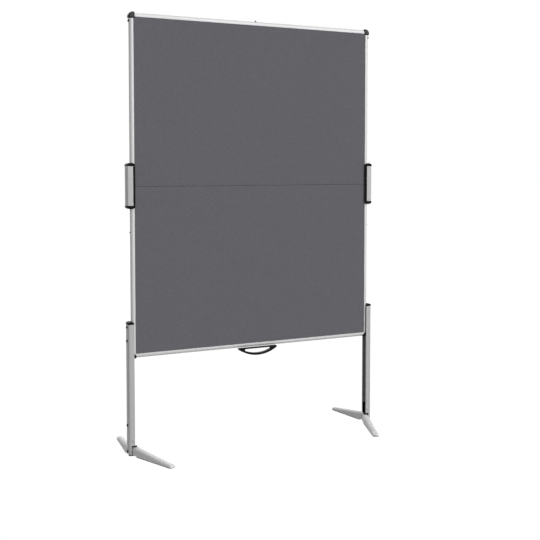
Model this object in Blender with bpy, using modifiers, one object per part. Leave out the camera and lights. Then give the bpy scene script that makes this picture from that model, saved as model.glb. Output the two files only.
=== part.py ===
"""Mobile pinboard: a folding felt board in an aluminium frame, on sliding legs with swing feet.

Metres, +Z up, -Y towards the viewer. The origin is on the floor under the middle of the board.
The right-hand pieces are drawn at +X and the left-hand ones are their mirror images.
"""

import math

import bmesh
import bpy
from mathutils import Matrix, Vector

# Board
PIN_WIDTH = 1.200
BOARD_HEIGHT = 1.530
GROUND_CLEARANCE = 0.440
SEAM_GAP = 0.0012
CORE_THICKNESS = 0.016
FELT_THICKNESS = 0.0012

# Frame profile
FRAME_FACE = 0.0185
FRAME_DEPTH = 0.022
FRAME_WALL = 0.0015
FRAME_ROUND = 0.009
GROOVE_DEPTH = 0.006

# Clearances
SEAT_GAP = 0.0003
SLIDE_GAP = 0.0005
OVERRUN = 0.003

# Frame corners
CORNER_SIZE = 0.0285
CORNER_PROUD = 0.0035
CORNER_LIFT = 0.0015
CORNER_ROUND = 0.020
CORNER_EDGE = 0.0015
SPIGOT_LENGTH = 0.025

# Slanted joint between the bottom rail and its corner blocks, measured from the felt's side edge
SLANT_START = 0.0050
SLANT_END = 0.0095
LOW_CORNER_DROP = 0.002
LOW_CORNER_ROUND = 0.010
LOW_CORNER_TOE = 0.006

# Screw heads and the stud on the top rail
SCREW_RADIUS = 0.0032
STUD_RADIUS = 0.0025
STUD_HEIGHT = 0.0050
STUD_FLANGE_RADIUS = 0.0045
STUD_FLANGE_HEIGHT = 0.0012

# Carry handle under the bottom rail
HANDLE_LENGTH = 0.196
HANDLE_DROP = 0.037
HANDLE_END = 0.007
HANDLE_PLATE = 0.005
HANDLE_GRIP = 0.0095
HANDLE_OPENING = 0.136
HANDLE_DEPTH = 0.018
HANDLE_EDGE = 0.0012

# Seam hinges on the back
HINGE_AXIS_Y = 0.0175
HINGE_SPACING_SHARE = 2 / 3
HINGE_WIDTH = 0.060
HINGE_LEAF = 0.034
HINGE_PLATE = 0.0016
KNUCKLE_RADIUS = 0.0042
KNUCKLE_GAP = 0.0008
HINGE_PIN_RADIUS = 0.0018
HINGE_PIN_END = 0.002

# The channel that the legs and the locking sleeves are cut from
CHANNEL_OFFSET = 0.018
CHANNEL_WIDTH = 0.028
CHANNEL_DEPTH = 0.038
CHANNEL_WALL = 0.002
CHANNEL_LIP = 0.0035
CHANNEL_ROUND = 0.004

# Locking sleeves across the seam
SLEEVE_LENGTH = 0.174
SLEEVE_RISE = 0.003
SLEEVE_CAP = 0.015
SLEEVE_CAP_END = 0.0045
SLEEVE_CAP_EDGE = 0.0015
SLEEVE_COVER = 0.0015
SLEEVE_TRAVEL = 0.100
STOP_SCREW_HEIGHT = 0.0025

# Legs
LEG_TOP = 0.604
LEG_TRAVEL = 0.380
LEG_CAP = 0.0125
LEG_CAP_END = 0.0035
LEG_CAP_SKIRT = 0.025
LEG_CAP_EDGE = 0.0015
LEG_TOE_ROUND = 0.006
HOLE_RADIUS = 0.0042
RUNNER_SPACE = 0.011
BUTTON_RADIUS = 0.0040
BUTTON_LENGTH = 0.0052
SPRING_RADIUS = 0.0028
SPRING_WIRE = 0.0006
SPRING_TURNS = 4

# Foot brackets at the leg ends
BRACKET_BASE = 0.0010
BRACKET_FLOOR = 0.0040
BRACKET_PLATE = 0.0048
BRACKET_TOP = 0.095
BRACKET_CHEEK = 0.0035
BRACKET_BACK = 0.0087
BRACKET_POST = 0.016
LUG_RADIUS = 0.0075
LEG_STRIP = 0.0135
BOLT_RADIUS = 0.0065
BOLT_HEIGHT = 0.0018
BOLT_Z = 0.069
BOLT_INSET = 0.007

# Swing feet
FOOT_LENGTH = 0.2545
FOOT_WIDTH = 0.031
FOOT_HEIGHT = 0.0405
FOOT_TIP_HEIGHT = 0.0120
FOOT_SHOULDER = 0.016
FOOT_ROUND = 0.0080
FOOT_CROWN_SHARE = 0.75
FOOT_TIP_ROUND = 0.0090
FRONT_PIVOT_INSET = 0.030
REAR_PIVOT_INSET = 0.015
PIVOT_Y = 0.0175
FOOT_PIN_RADIUS = 0.0030
FRONT_SPLAY = math.radians(20.6)
REAR_SPLAY = math.radians(7.0)
PAD_THICKNESS = 0.0027
PAD_START = 0.0225
PAD_INSET = 0.002
DIMPLE_RADIUS = 0.0026
DIMPLE_DEPTH = 0.004

# Counts
ARC_STEPS = 4
ROUND_SIDES = 16
HEAD_SIDES = 12
HANDLE_STEPS = 14
CAP_STEPS = 12
SPRING_POINTS = 8
FOOT_SECTIONS = 2
ROOT_SECTIONS = 4

# Places worked out from the sizes above
FELT_X = PIN_WIDTH / 2
FRAME_X = FELT_X + FRAME_FACE
FRAME_Y = FRAME_DEPTH / 2
CORE_Y = CORE_THICKNESS / 2
FELT_Y = CORE_Y + SEAT_GAP + FELT_THICKNESS
BOARD_LOW = GROUND_CLEARANCE
BOARD_TOP = GROUND_CLEARANCE + BOARD_HEIGHT
SEAM_Z = (BOARD_LOW + BOARD_TOP) / 2
RAIL_TOP = BOARD_LOW + FRAME_FACE
HINGE_SPACING = PIN_WIDTH * HINGE_SPACING_SHARE
CORNER_INSET = CORNER_SIZE - CORNER_PROUD
CORNER_Y = FRAME_Y + CORNER_LIFT
CHANNEL_OUT = FRAME_X + CHANNEL_OFFSET
CHANNEL_IN = CHANNEL_OUT - CHANNEL_WIDTH
CHANNEL_Y = CHANNEL_DEPTH / 2
BORE_OUT = CHANNEL_OUT - CHANNEL_WALL - SLIDE_GAP
BORE_IN = CHANNEL_IN + CHANNEL_WALL + SLIDE_GAP
BORE_Y = CHANNEL_Y - CHANNEL_WALL - SLIDE_GAP
STILE_SLOT_X = FRAME_X + SLIDE_GAP
STILE_SLOT_Y = FRAME_Y + SLIDE_GAP
SLEEVE_LOW = SEAM_Z + SLEEVE_RISE - SLEEVE_LENGTH / 2
SLEEVE_TOP = SLEEVE_LOW + SLEEVE_LENGTH
STOP_SCREW_Z = SLEEVE_LOW - SLEEVE_CAP - SLEEVE_TRAVEL - SCREW_RADIUS - SEAT_GAP
PLATE_LOW = FOOT_HEIGHT + SLIDE_GAP
PLATE_TOP = PLATE_LOW + BRACKET_PLATE
LEG_CUT_Z = PLATE_TOP + SLIDE_GAP
FLOOR_TOP = BRACKET_BASE + BRACKET_FLOOR
LEG_BASE = FLOOR_TOP + SLIDE_GAP
STRIP_X = CHANNEL_OUT - LEG_STRIP
FRONT_PIVOT_X = CHANNEL_OUT - FRONT_PIVOT_INSET
REAR_PIVOT_X = CHANNEL_OUT - REAR_PIVOT_INSET
LEG_CAP_SEAT = LEG_TOP - LEG_CAP + SEAT_GAP
RUNNER_LOW = BOARD_LOW + CORNER_SIZE + RUNNER_SPACE
RUNNER_TOP = LEG_CAP_SEAT - LEG_CAP_SKIRT - RUNNER_SPACE
HOLE_Z = (RUNNER_LOW + RUNNER_TOP) / 2
FOOT_BASE = PAD_THICKNESS + SEAT_GAP
HANDLE_TOP = BOARD_LOW - SEAT_GAP
SIDES = (("left", -1), ("right", 1))


# Collections, materials and placing

def clear_scene():
    for item in list(bpy.data.objects):
        bpy.data.objects.remove(item, do_unlink=True)


def new_collection(name):
    made = bpy.data.collections.new(name)
    bpy.context.scene.collection.children.link(made)
    return made


def material(name, colour, roughness, metallic=0.0):
    made = bpy.data.materials.new(name)
    made.use_nodes = True
    shader = made.node_tree.nodes["Principled BSDF"]
    shader.inputs["Base Color"].default_value = (*colour, 1.0)
    shader.inputs["Roughness"].default_value = roughness
    shader.inputs["Metallic"].default_value = metallic
    return made


def pivot(name, place=(0, 0, 0), turn=0.0):
    """An empty that carries the pieces of one moving body, on the axis of its joint."""
    made = bpy.data.objects.new(name, None)
    made.matrix_basis = Matrix.Translation(place) @ Matrix.Rotation(turn, 4, "Z")
    PARTS.objects.link(made)
    return made


def add_object(name, mesh, finish, carrier=None, local=False):
    """A piece from a mesh drawn in world coordinates, or in its carrier's if local is set."""
    made = bpy.data.objects.new(name, mesh)
    if finish:
        mesh.materials.append(finish)
        PARTS.objects.link(made)
    else:
        made.hide_render = True
        made.display_type = "WIRE"
        CUTTERS.objects.link(made)
    if carrier:
        made.parent = carrier
        if not local:
            made.matrix_parent_inverse = carrier.matrix_basis.inverted()
    return made


def change(target, other, operation):
    """Cuts the other object from the target, joins it on or keeps what both hold."""
    modifier = target.modifiers.new(f"{operation.lower()}_{other.name}", "BOOLEAN")
    modifier.operation = operation
    modifier.solver = "EXACT"
    modifier.object = other
    target.data.shade_flat()


def soften(target, width, segments=1):
    modifier = target.modifiers.new("edges", "BEVEL")
    modifier.width = width
    modifier.segments = segments
    modifier.limit_method = "ANGLE"
    modifier.angle_limit = math.radians(40)


# Outlines

def arc(middle, radius, start, end, steps):
    """Points on a circle from one angle to another, in degrees."""
    angles = [math.radians(start + (end - start) * step / steps) for step in range(steps + 1)]
    return [Vector((middle[0] + radius * math.cos(a), middle[1] + radius * math.sin(a))) for a in angles]


def rounded(corners, steps=ARC_STEPS):
    """An outline through (x, y, radius) corners, with an arc in place of each rounded one."""
    points = []
    for index, (x, y, radius) in enumerate(corners):
        here = Vector((x, y))
        if not radius:
            points.append(here)
            continue
        back = (Vector(corners[index - 1][:2]) - here).normalized()
        ahead = (Vector(corners[(index + 1) % len(corners)][:2]) - here).normalized()
        half = back.angle(ahead) / 2
        middle = here + (back + ahead).normalized() * (radius / math.sin(half))
        first = here + back * (radius / math.tan(half)) - middle
        last = here + ahead * (radius / math.tan(half)) - middle
        start = math.atan2(first.y, first.x)
        turn = math.atan2(last.y, last.x) - start
        turn = (turn + math.pi) % math.tau - math.pi
        points += arc(middle, radius, math.degrees(start), math.degrees(start + turn), steps)
    return points


def block_outline(low_x, high_x, low_y, high_y, radius=0.0):
    corners = ((low_x, low_y), (high_x, low_y), (high_x, high_y), (low_x, high_y))
    return rounded([(x, y, radius) for x, y in corners])


def mirrored(points, side):
    return [Vector((side * point[0], point[1])) for point in points]


# Meshes

def finished(mesh):
    work = bmesh.new()
    work.from_mesh(mesh)
    bmesh.ops.remove_doubles(work, verts=work.verts, dist=WELD_DISTANCE)
    bmesh.ops.recalc_face_normals(work, faces=work.faces)
    work.to_mesh(mesh)
    work.free()
    mesh.shade_smooth()
    mesh.set_sharp_from_angle(angle=math.radians(30))
    return mesh


AXIS_TURNS = {
    "X": Matrix(((0, 0, 1, 0), (1, 0, 0, 0), (0, 1, 0, 0), (0, 0, 0, 1))),
    "Y": Matrix(((1, 0, 0, 0), (0, 0, -1, 0), (0, 1, 0, 0), (0, 0, 0, 1))),
    "Z": Matrix.Identity(4),
}
WELD_DISTANCE = 0.00001


def prism(name, outline, low, high, axis="Z", holes=()):
    """The mesh of a flat outline extruded along an axis.

    The outline is drawn in YZ for axis X, in XZ for axis Y and in XY for axis Z.
    """
    curve = bpy.data.curves.new(name, "CURVE")
    curve.dimensions = "2D"
    curve.fill_mode = "BOTH"
    curve.extrude = (high - low) / 2
    for points in (outline, *holes):
        spline = curve.splines.new("POLY")
        spline.points.add(len(points) - 1)
        for target, point in zip(spline.points, points):
            target.co = (point[0], point[1], 0, 1)
        spline.use_cyclic_u = True
    mesh = baked_curve(curve)
    along = Vector([letter == axis for letter in "XYZ"])
    mesh.transform(Matrix.Translation(along * (low + high) / 2) @ AXIS_TURNS[axis])
    return finished(mesh)


def baked_curve(curve):
    """The closed mesh of a curve, which is removed."""
    holder = bpy.data.objects.new(curve.name, curve)
    bpy.context.scene.collection.objects.link(holder)
    graph = bpy.context.evaluated_depsgraph_get()
    mesh = bpy.data.meshes.new_from_object(holder.evaluated_get(graph))
    bpy.data.objects.remove(holder)
    bpy.data.curves.remove(curve)
    return mesh


def box(name, low, high):
    low, high = Vector(low), Vector(high)
    work = bmesh.new()
    size = Matrix.Diagonal((*(high - low), 1))
    bmesh.ops.create_cube(work, size=1, matrix=Matrix.Translation((low + high) / 2) @ size)
    mesh = bpy.data.meshes.new(name)
    work.to_mesh(mesh)
    work.free()
    return finished(mesh)


def rod(name, start, end, radius, sides=ROUND_SIDES):
    """A round bar from one point to another."""
    start, end = Vector(start), Vector(end)
    along = end - start
    turn = along.to_track_quat("Z", "Y").to_matrix().to_4x4()
    work = bmesh.new()
    bmesh.ops.create_cone(
        work,
        cap_ends=True,
        segments=sides,
        radius1=radius,
        radius2=radius,
        depth=along.length,
        matrix=Matrix.Translation((start + end) / 2) @ turn,
    )
    mesh = bpy.data.meshes.new(name)
    work.to_mesh(mesh)
    work.free()
    return finished(mesh)


def loft(name, sections):
    """A closed skin through rings of points that all have the same count."""
    work = bmesh.new()
    rings = [[work.verts.new(point) for point in section] for section in sections]
    for first, second in zip(rings, rings[1:]):
        for index in range(len(first)):
            after = (index + 1) % len(first)
            work.faces.new((first[index], first[after], second[after], second[index]))
    work.faces.new(rings[0])
    work.faces.new(rings[-1])
    mesh = bpy.data.meshes.new(name)
    work.to_mesh(mesh)
    work.free()
    return finished(mesh)


# The two panels

def frame_profile():
    """The frame's section: across the face from the felt's edge outwards, and front to back."""
    groove = CORE_Y + SEAT_GAP
    outline = rounded((
        (0, -FRAME_Y, 0),
        (FRAME_FACE, -FRAME_Y, FRAME_ROUND),
        (FRAME_FACE, FRAME_Y, FRAME_ROUND),
        (0, FRAME_Y, 0),
        (0, groove, 0),
        (GROOVE_DEPTH, groove, 0),
        (GROOVE_DEPTH, -groove, 0),
        (0, -groove, 0),
    ))
    wall = FRAME_WALL
    chamber = rounded((
        (GROOVE_DEPTH + wall, wall - FRAME_Y, 0),
        (FRAME_FACE - wall, wall - FRAME_Y, FRAME_ROUND - wall),
        (FRAME_FACE - wall, FRAME_Y - wall, FRAME_ROUND - wall),
        (GROOVE_DEPTH + wall, FRAME_Y - wall, 0),
    ))
    return outline, chamber


def add_stile(panel, label, side, low, high, carrier):
    outline, chamber = (
        [Vector((side * (FELT_X + face), depth)) for face, depth in points] for points in frame_profile()
    )
    name = f"{panel}_stile_{label}"
    add_object(name, prism(name, outline, low, high, "Z", [chamber]), ALUMINIUM, carrier)


def slant_x(height):
    """X of the slanted face of the lower right corner block."""
    return FELT_X + SLANT_START - (SLANT_START + SLANT_END) * (RAIL_TOP - height) / FRAME_FACE


def add_rail(name, edge, inward, carrier):
    """A rail whose outer edge is at the height edge; inward is the way to the felt."""
    outline, chamber = (
        [Vector((depth, edge + inward * (FRAME_FACE - face))) for face, depth in points]
        for points in frame_profile()
    )
    reach = FRAME_X - CORNER_INSET - SEAT_GAP
    mesh = prism(name, outline, -reach, reach, "X", [chamber])
    if inward > 0:
        for vertex in mesh.vertices:
            vertex.co.x = math.copysign(slant_x(vertex.co.z) - SLIDE_GAP, vertex.co.x)
    add_object(name, mesh, ALUMINIUM, carrier)


def add_corner(label, side, carrier):
    """A rounded corner block with a slot for the board and spigots into the top rail and the stile."""
    name = f"upper_corner_{label}"
    outer_x, outer_z = FRAME_X + CORNER_PROUD, BOARD_TOP + CORNER_PROUD
    inner_x, inner_z = outer_x - CORNER_SIZE, outer_z - CORNER_SIZE
    outline = rounded((
        (inner_x, inner_z, 0),
        (outer_x, inner_z, 0),
        (outer_x, outer_z, CORNER_ROUND),
        (inner_x, outer_z, 0),
    ))
    mesh = prism(name, mirrored(outline, side), -CORNER_Y, CORNER_Y, "Y")
    block = add_object(name, mesh, GREY_PLASTIC, carrier)
    soften(block, CORNER_EDGE)

    slot_y = FELT_Y + SEAT_GAP
    slot_x = FELT_X + GROOVE_DEPTH
    slot_z = BOARD_TOP - FRAME_FACE + GROOVE_DEPTH
    slot = block_outline(inner_x - OVERRUN, slot_x, inner_z - OVERRUN, slot_z)
    cutter = prism(f"{name}_slot", mirrored(slot, side), -slot_y, slot_y, "Y")
    change(block, add_object(cutter.name, cutter, None, carrier), "DIFFERENCE")

    spigot_y = FRAME_Y - FRAME_ROUND
    near = GROOVE_DEPTH + FRAME_WALL + SEAT_GAP
    far = FRAME_FACE - FRAME_WALL - SEAT_GAP
    upright = block_outline(FELT_X + near, FELT_X + far, inner_z - SPIGOT_LENGTH, inner_z + OVERRUN)
    base = BOARD_TOP - FRAME_FACE
    level = block_outline(inner_x - SPIGOT_LENGTH, inner_x + OVERRUN, base + near, base + far)
    for word, outline in (("upright", upright), ("level", level)):
        spigot = prism(f"{name}_{word}", mirrored(outline, side), -spigot_y, spigot_y, "Y")
        change(block, add_object(spigot.name, spigot, None, carrier), "UNION")


def add_low_corner(label, side, carrier):
    """A slanted corner block with a slot for the board and spigots into the bottom rail and the stile."""
    name = f"lower_corner_{label}"
    low, high = BOARD_LOW - LOW_CORNER_DROP, RAIL_TOP
    outline = rounded((
        (slant_x(high), high, 0),
        (slant_x(low), low, LOW_CORNER_TOE),
        (FRAME_X + CORNER_PROUD, low, LOW_CORNER_ROUND),
        (FRAME_X + CORNER_PROUD, high, 0),
    ))
    mesh = prism(name, mirrored(outline, side), -CORNER_Y, CORNER_Y, "Y")
    block = add_object(name, mesh, BLACK_PLASTIC, carrier)
    soften(block, CORNER_EDGE)

    slot_y = FELT_Y + SEAT_GAP
    slot = block_outline(slant_x(low), FELT_X + GROOVE_DEPTH, high - GROOVE_DEPTH, high + OVERRUN)
    cutter = prism(f"{name}_slot", mirrored(slot, side), -slot_y, slot_y, "Y")
    change(block, add_object(cutter.name, cutter, None, carrier), "DIFFERENCE")

    spigot_y = FRAME_Y - FRAME_ROUND
    near = GROOVE_DEPTH + FRAME_WALL + SEAT_GAP
    far = FRAME_FACE - FRAME_WALL - SEAT_GAP
    spigot_x = max(slant_x(high) + CORNER_EDGE, FELT_X + near)
    upright = block_outline(spigot_x, FELT_X + far, high - CORNER_EDGE - OVERRUN, high + SPIGOT_LENGTH)
    level = block_outline(
        slant_x(low) - SPIGOT_LENGTH, slant_x(RAIL_TOP - near) + OVERRUN, RAIL_TOP - far, RAIL_TOP - near
    )
    for word, outline in (("upright", upright), ("level", level)):
        spigot = prism(f"{name}_{word}", mirrored(outline, side), -spigot_y, spigot_y, "Y")
        change(block, add_object(spigot.name, spigot, None, carrier), "UNION")


def add_panel(panel, edge, inward, carrier):
    """One half of the board: core, two felts, two stiles and their corners."""
    core_seam = SEAM_Z - inward * SEAT_GAP / 2
    seam = SEAM_Z - inward * SEAM_GAP / 2
    core_edge = edge + inward * (FRAME_FACE - GROOVE_DEPTH + SEAT_GAP)
    core_x = FELT_X + GROOVE_DEPTH - SEAT_GAP
    low, high = sorted((core_seam, core_edge))
    name = f"{panel}_core"
    add_object(name, box(name, (-core_x, -CORE_Y, low), (core_x, CORE_Y, high)), CORE_BOARD, carrier)

    felt_x = FELT_X - SEAT_GAP
    low, high = sorted((seam, edge + inward * (FRAME_FACE + SEAT_GAP)))
    for word, near, far in (("front", -FELT_Y, -CORE_Y - SEAT_GAP), ("rear", CORE_Y + SEAT_GAP, FELT_Y)):
        name = f"{panel}_{word}_felt"
        add_object(name, box(name, (-felt_x, near, low), (felt_x, far, high)), FELT, carrier)

    inset = FRAME_FACE if inward > 0 else CORNER_INSET
    low, high = sorted((seam, edge + inward * (inset + SEAT_GAP)))
    for label, side in SIDES:
        add_stile(panel, label, side, low, high, carrier)
        if inward > 0:
            add_low_corner(label, side, carrier)
        else:
            add_corner(label, side, carrier)


def add_stud(carrier):
    """The small turned stud in the middle of the top rail."""
    start = BOARD_TOP + SEAT_GAP
    heights = (
        (0, STUD_HEIGHT),
        (STUD_RADIUS, STUD_HEIGHT),
        (STUD_RADIUS, STUD_FLANGE_HEIGHT),
        (STUD_FLANGE_RADIUS, STUD_FLANGE_HEIGHT),
        (STUD_FLANGE_RADIUS, 0),
        (0, 0),
    )
    mesh = bpy.data.meshes.new("catch_stud")
    points = [(radius, 0, start + height) for radius, height in heights]
    mesh.from_pydata(points, [(index, index + 1) for index in range(len(points) - 1)], [])
    stud = add_object("catch_stud", mesh, BLACK_PLASTIC, carrier)
    turned = stud.modifiers.new("turned", "SCREW")
    turned.steps = turned.render_steps = ROUND_SIDES
    turned.use_merge_vertices = True
    turned.merge_threshold = WELD_DISTANCE


# Carry handle

def add_handle(carrier):
    """A D-shaped loop: flat plate, solid gussets and a curved grip."""
    half = HANDLE_LENGTH / 2
    rise = HANDLE_DROP - HANDLE_END
    radius = (half ** 2 + rise ** 2) / (2 * rise)
    middle_z = HANDLE_TOP - HANDLE_DROP + radius
    sweep = math.degrees(math.asin(half / radius))
    outline = [Vector((-half, HANDLE_TOP))]
    outline += arc((0, middle_z), radius, 270 - sweep, 270 + sweep, HANDLE_STEPS)
    outline += [Vector((half, HANDLE_TOP))]

    inner = radius - HANDLE_GRIP
    sweep = math.degrees(math.asin(HANDLE_OPENING / 2 / inner))
    roof = HANDLE_TOP - HANDLE_PLATE
    opening = [Vector((-HANDLE_OPENING / 2, roof))]
    opening += arc((0, middle_z), inner, 270 - sweep, 270 + sweep, HANDLE_STEPS)
    opening += [Vector((HANDLE_OPENING / 2, roof))]
    mesh = prism("carry_handle", outline, -HANDLE_DEPTH / 2, HANDLE_DEPTH / 2, "Y", [opening])
    soften(add_object("carry_handle", mesh, BLACK_PLASTIC, carrier), HANDLE_EDGE)


# Seam hinges

def add_hinge_leaf(panel, upward, label, side, carrier):
    """A plate on the felt with its knuckles round the pin: one above the seam, two below it."""
    name = f"{panel}_hinge_leaf_{label}"
    middle = side * HINGE_SPACING / 2
    edge = HINGE_WIDTH / 2
    knuckle = HINGE_WIDTH / 3 - KNUCKLE_GAP
    spans = [(-edge, knuckle - edge), (edge - knuckle, edge)]
    if upward > 0:
        spans = [(-knuckle / 2, knuckle / 2)]
    plate_y = FELT_Y + SEAT_GAP
    near = SEAM_Z + upward * SEAM_GAP
    low, high = sorted((near, SEAM_Z + upward * HINGE_LEAF))
    plate = box(name, (middle - edge, plate_y, low), (middle + edge, plate_y + HINGE_PLATE, high))
    leaf = add_object(name, plate, STEEL, carrier)

    low, high = sorted((near, SEAM_Z + upward * KNUCKLE_RADIUS))
    web = block_outline(plate_y + HINGE_PLATE / 2, HINGE_AXIS_Y, low, high)
    for number, (start, end) in enumerate(spans):
        start, end = middle + start, middle + end
        arm = prism(f"{name}_web_{number}", web, start, end, "X")
        change(leaf, add_object(arm.name, arm, None, carrier), "UNION")
        barrel = hinge_rod(f"{name}_barrel_{number}", start, end, KNUCKLE_RADIUS)
        change(leaf, add_object(barrel.name, barrel, None, carrier), "UNION")
    reach = edge + OVERRUN
    bore = hinge_rod(f"{name}_bore", middle - reach, middle + reach, HINGE_PIN_RADIUS + SEAT_GAP)
    change(leaf, add_object(bore.name, bore, None, carrier), "DIFFERENCE")


def hinge_rod(name, start, end, radius):
    return rod(name, (start, HINGE_AXIS_Y, SEAM_Z), (end, HINGE_AXIS_Y, SEAM_Z), radius)


def add_hinge_pin(label, side, carrier):
    name = f"hinge_pin_{label}"
    middle = side * HINGE_SPACING / 2
    reach = HINGE_WIDTH / 2 + HINGE_PIN_END
    pin = hinge_rod(name, middle - reach, middle + reach, HINGE_PIN_RADIUS)
    add_object(name, pin, STEEL, carrier)


# Locking sleeves and the channel they share with the legs

def channel_outline(lip=0.0):
    """The open channel, whose mouth faces the board, with return lips where it has them."""
    wall = CHANNEL_WALL
    lip_y = CHANNEL_Y - wall - lip
    inside = []
    if lip:
        inside = [(CHANNEL_IN, lip_y, 0), (CHANNEL_IN + wall, lip_y, 0)]
    inside.append((CHANNEL_IN + wall * bool(lip), CHANNEL_Y - wall, 0))
    inside.append((CHANNEL_OUT - wall, CHANNEL_Y - wall, CHANNEL_ROUND - wall))
    inside += [(x, -y, radius) for x, y, radius in reversed(inside)]
    outside = [
        (CHANNEL_IN, -CHANNEL_Y, 0),
        (CHANNEL_OUT, -CHANNEL_Y, CHANNEL_ROUND),
        (CHANNEL_OUT, CHANNEL_Y, CHANNEL_ROUND),
        (CHANNEL_IN, CHANNEL_Y, 0),
    ]
    return rounded(outside + inside)


def bush_outline(low_x, high_x, high_y, slot_x, slot_y, radius=0.0):
    """A C-shaped bush: a block with a slot that is open towards the board."""
    return rounded((
        (low_x, -high_y, 0),
        (high_x, -high_y, radius),
        (high_x, high_y, radius),
        (low_x, high_y, 0),
        (low_x, slot_y, 0),
        (slot_x, slot_y, 0),
        (slot_x, -slot_y, 0),
        (low_x, -slot_y, 0),
    ))


def liner_outline():
    """The sleeve's plastic liner, whose lips cover the stile and the felt's edge."""
    lip_x = FELT_X - SLEEVE_COVER
    step_x = CHANNEL_IN - SEAT_GAP
    bore_x = CHANNEL_OUT - CHANNEL_WALL - SEAT_GAP
    bore_y = CHANNEL_Y - CHANNEL_WALL - SEAT_GAP
    half = [
        (STILE_SLOT_X, -STILE_SLOT_Y, 0),
        (lip_x, -STILE_SLOT_Y, 0),
        (lip_x, -CHANNEL_Y, 0),
        (step_x, -CHANNEL_Y, 0),
        (step_x, -bore_y, 0),
        (bore_x, -bore_y, CHANNEL_ROUND - CHANNEL_WALL),
    ]
    return rounded(half + [(x, -y, radius) for x, y, radius in reversed(half)])


def cap_outline(low_x, seat, end, height, upward=1):
    """An arched end cap, drawn in XZ: an ellipse over a low straight edge."""
    middle = (low_x + CHANNEL_OUT) / 2
    half = (CHANNEL_OUT - low_x) / 2
    points = [Vector((low_x, seat)), Vector((CHANNEL_OUT, seat))]
    for step in range(CAP_STEPS + 1):
        turn = math.pi * step / CAP_STEPS
        rise = end + (height - end) * math.sin(turn)
        points.append(Vector((middle + half * math.cos(turn), seat + upward * rise)))
    return points


def add_sleeve(label, side, carrier):
    """The shell, its liner and two caps. Above the seam the back is open for the upper stile."""
    inner = FELT_X - SLEEVE_COVER - OVERRUN
    way_out = block_outline(inner, STILE_SLOT_X, -STILE_SLOT_Y, CHANNEL_Y + OVERRUN)
    gate = prism(f"sleeve_gate_{label}", mirrored(way_out, side), SEAM_Z, SLEEVE_TOP + SLEEVE_CAP + OVERRUN)
    gate = add_object(gate.name, gate, None, carrier)

    name = f"sleeve_shell_{label}"
    shell = prism(name, mirrored(channel_outline(), side), SLEEVE_LOW, SLEEVE_TOP)
    change(add_object(name, shell, ALUMINIUM, carrier), gate, "DIFFERENCE")

    name = f"sleeve_liner_{label}"
    liner = prism(name, mirrored(liner_outline(), side), SLEEVE_LOW + SEAT_GAP, SLEEVE_TOP - SEAT_GAP)
    change(add_object(name, liner, BLACK_PLASTIC, carrier), gate, "DIFFERENCE")

    for word, seat, upward in (("top", SLEEVE_TOP + SEAT_GAP, 1), ("bottom", SLEEVE_LOW - SEAT_GAP, -1)):
        name = f"sleeve_{word}_cap_{label}"
        outline = cap_outline(FELT_X - SLEEVE_COVER, seat, SLEEVE_CAP_END, SLEEVE_CAP, upward)
        arch = prism(name, mirrored(outline, side), -CHANNEL_Y, CHANNEL_Y, "Y")
        cap = add_object(name, arch, BLACK_PLASTIC, carrier)
        soften(cap, SLEEVE_CAP_EDGE)
        if upward > 0:
            change(cap, gate, "DIFFERENCE")
            continue
        slot = block_outline(inner, STILE_SLOT_X, -STILE_SLOT_Y, STILE_SLOT_Y)
        low = seat - SLEEVE_CAP - OVERRUN
        slot = prism(f"{name}_slot", mirrored(slot, side), low, seat + OVERRUN)
        change(cap, add_object(slot.name, slot, None, carrier), "DIFFERENCE")


def add_stop_screw(label, side, carrier):
    name = f"stop_screw_{label}"
    seat = FRAME_X + SEAT_GAP
    head = cross_rod(name, side, STOP_SCREW_Z, SCREW_RADIUS, seat, seat + STOP_SCREW_HEIGHT, HEAD_SIDES)
    add_object(name, head, BLACK_STEEL, carrier)


# Legs

def cross_rod(name, side, height, radius, near, far, sides=ROUND_SIDES):
    """A round bar that runs outwards across a leg or a stile."""
    return rod(name, (side * near, 0, height), (side * far, 0, height), radius, sides)


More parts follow.
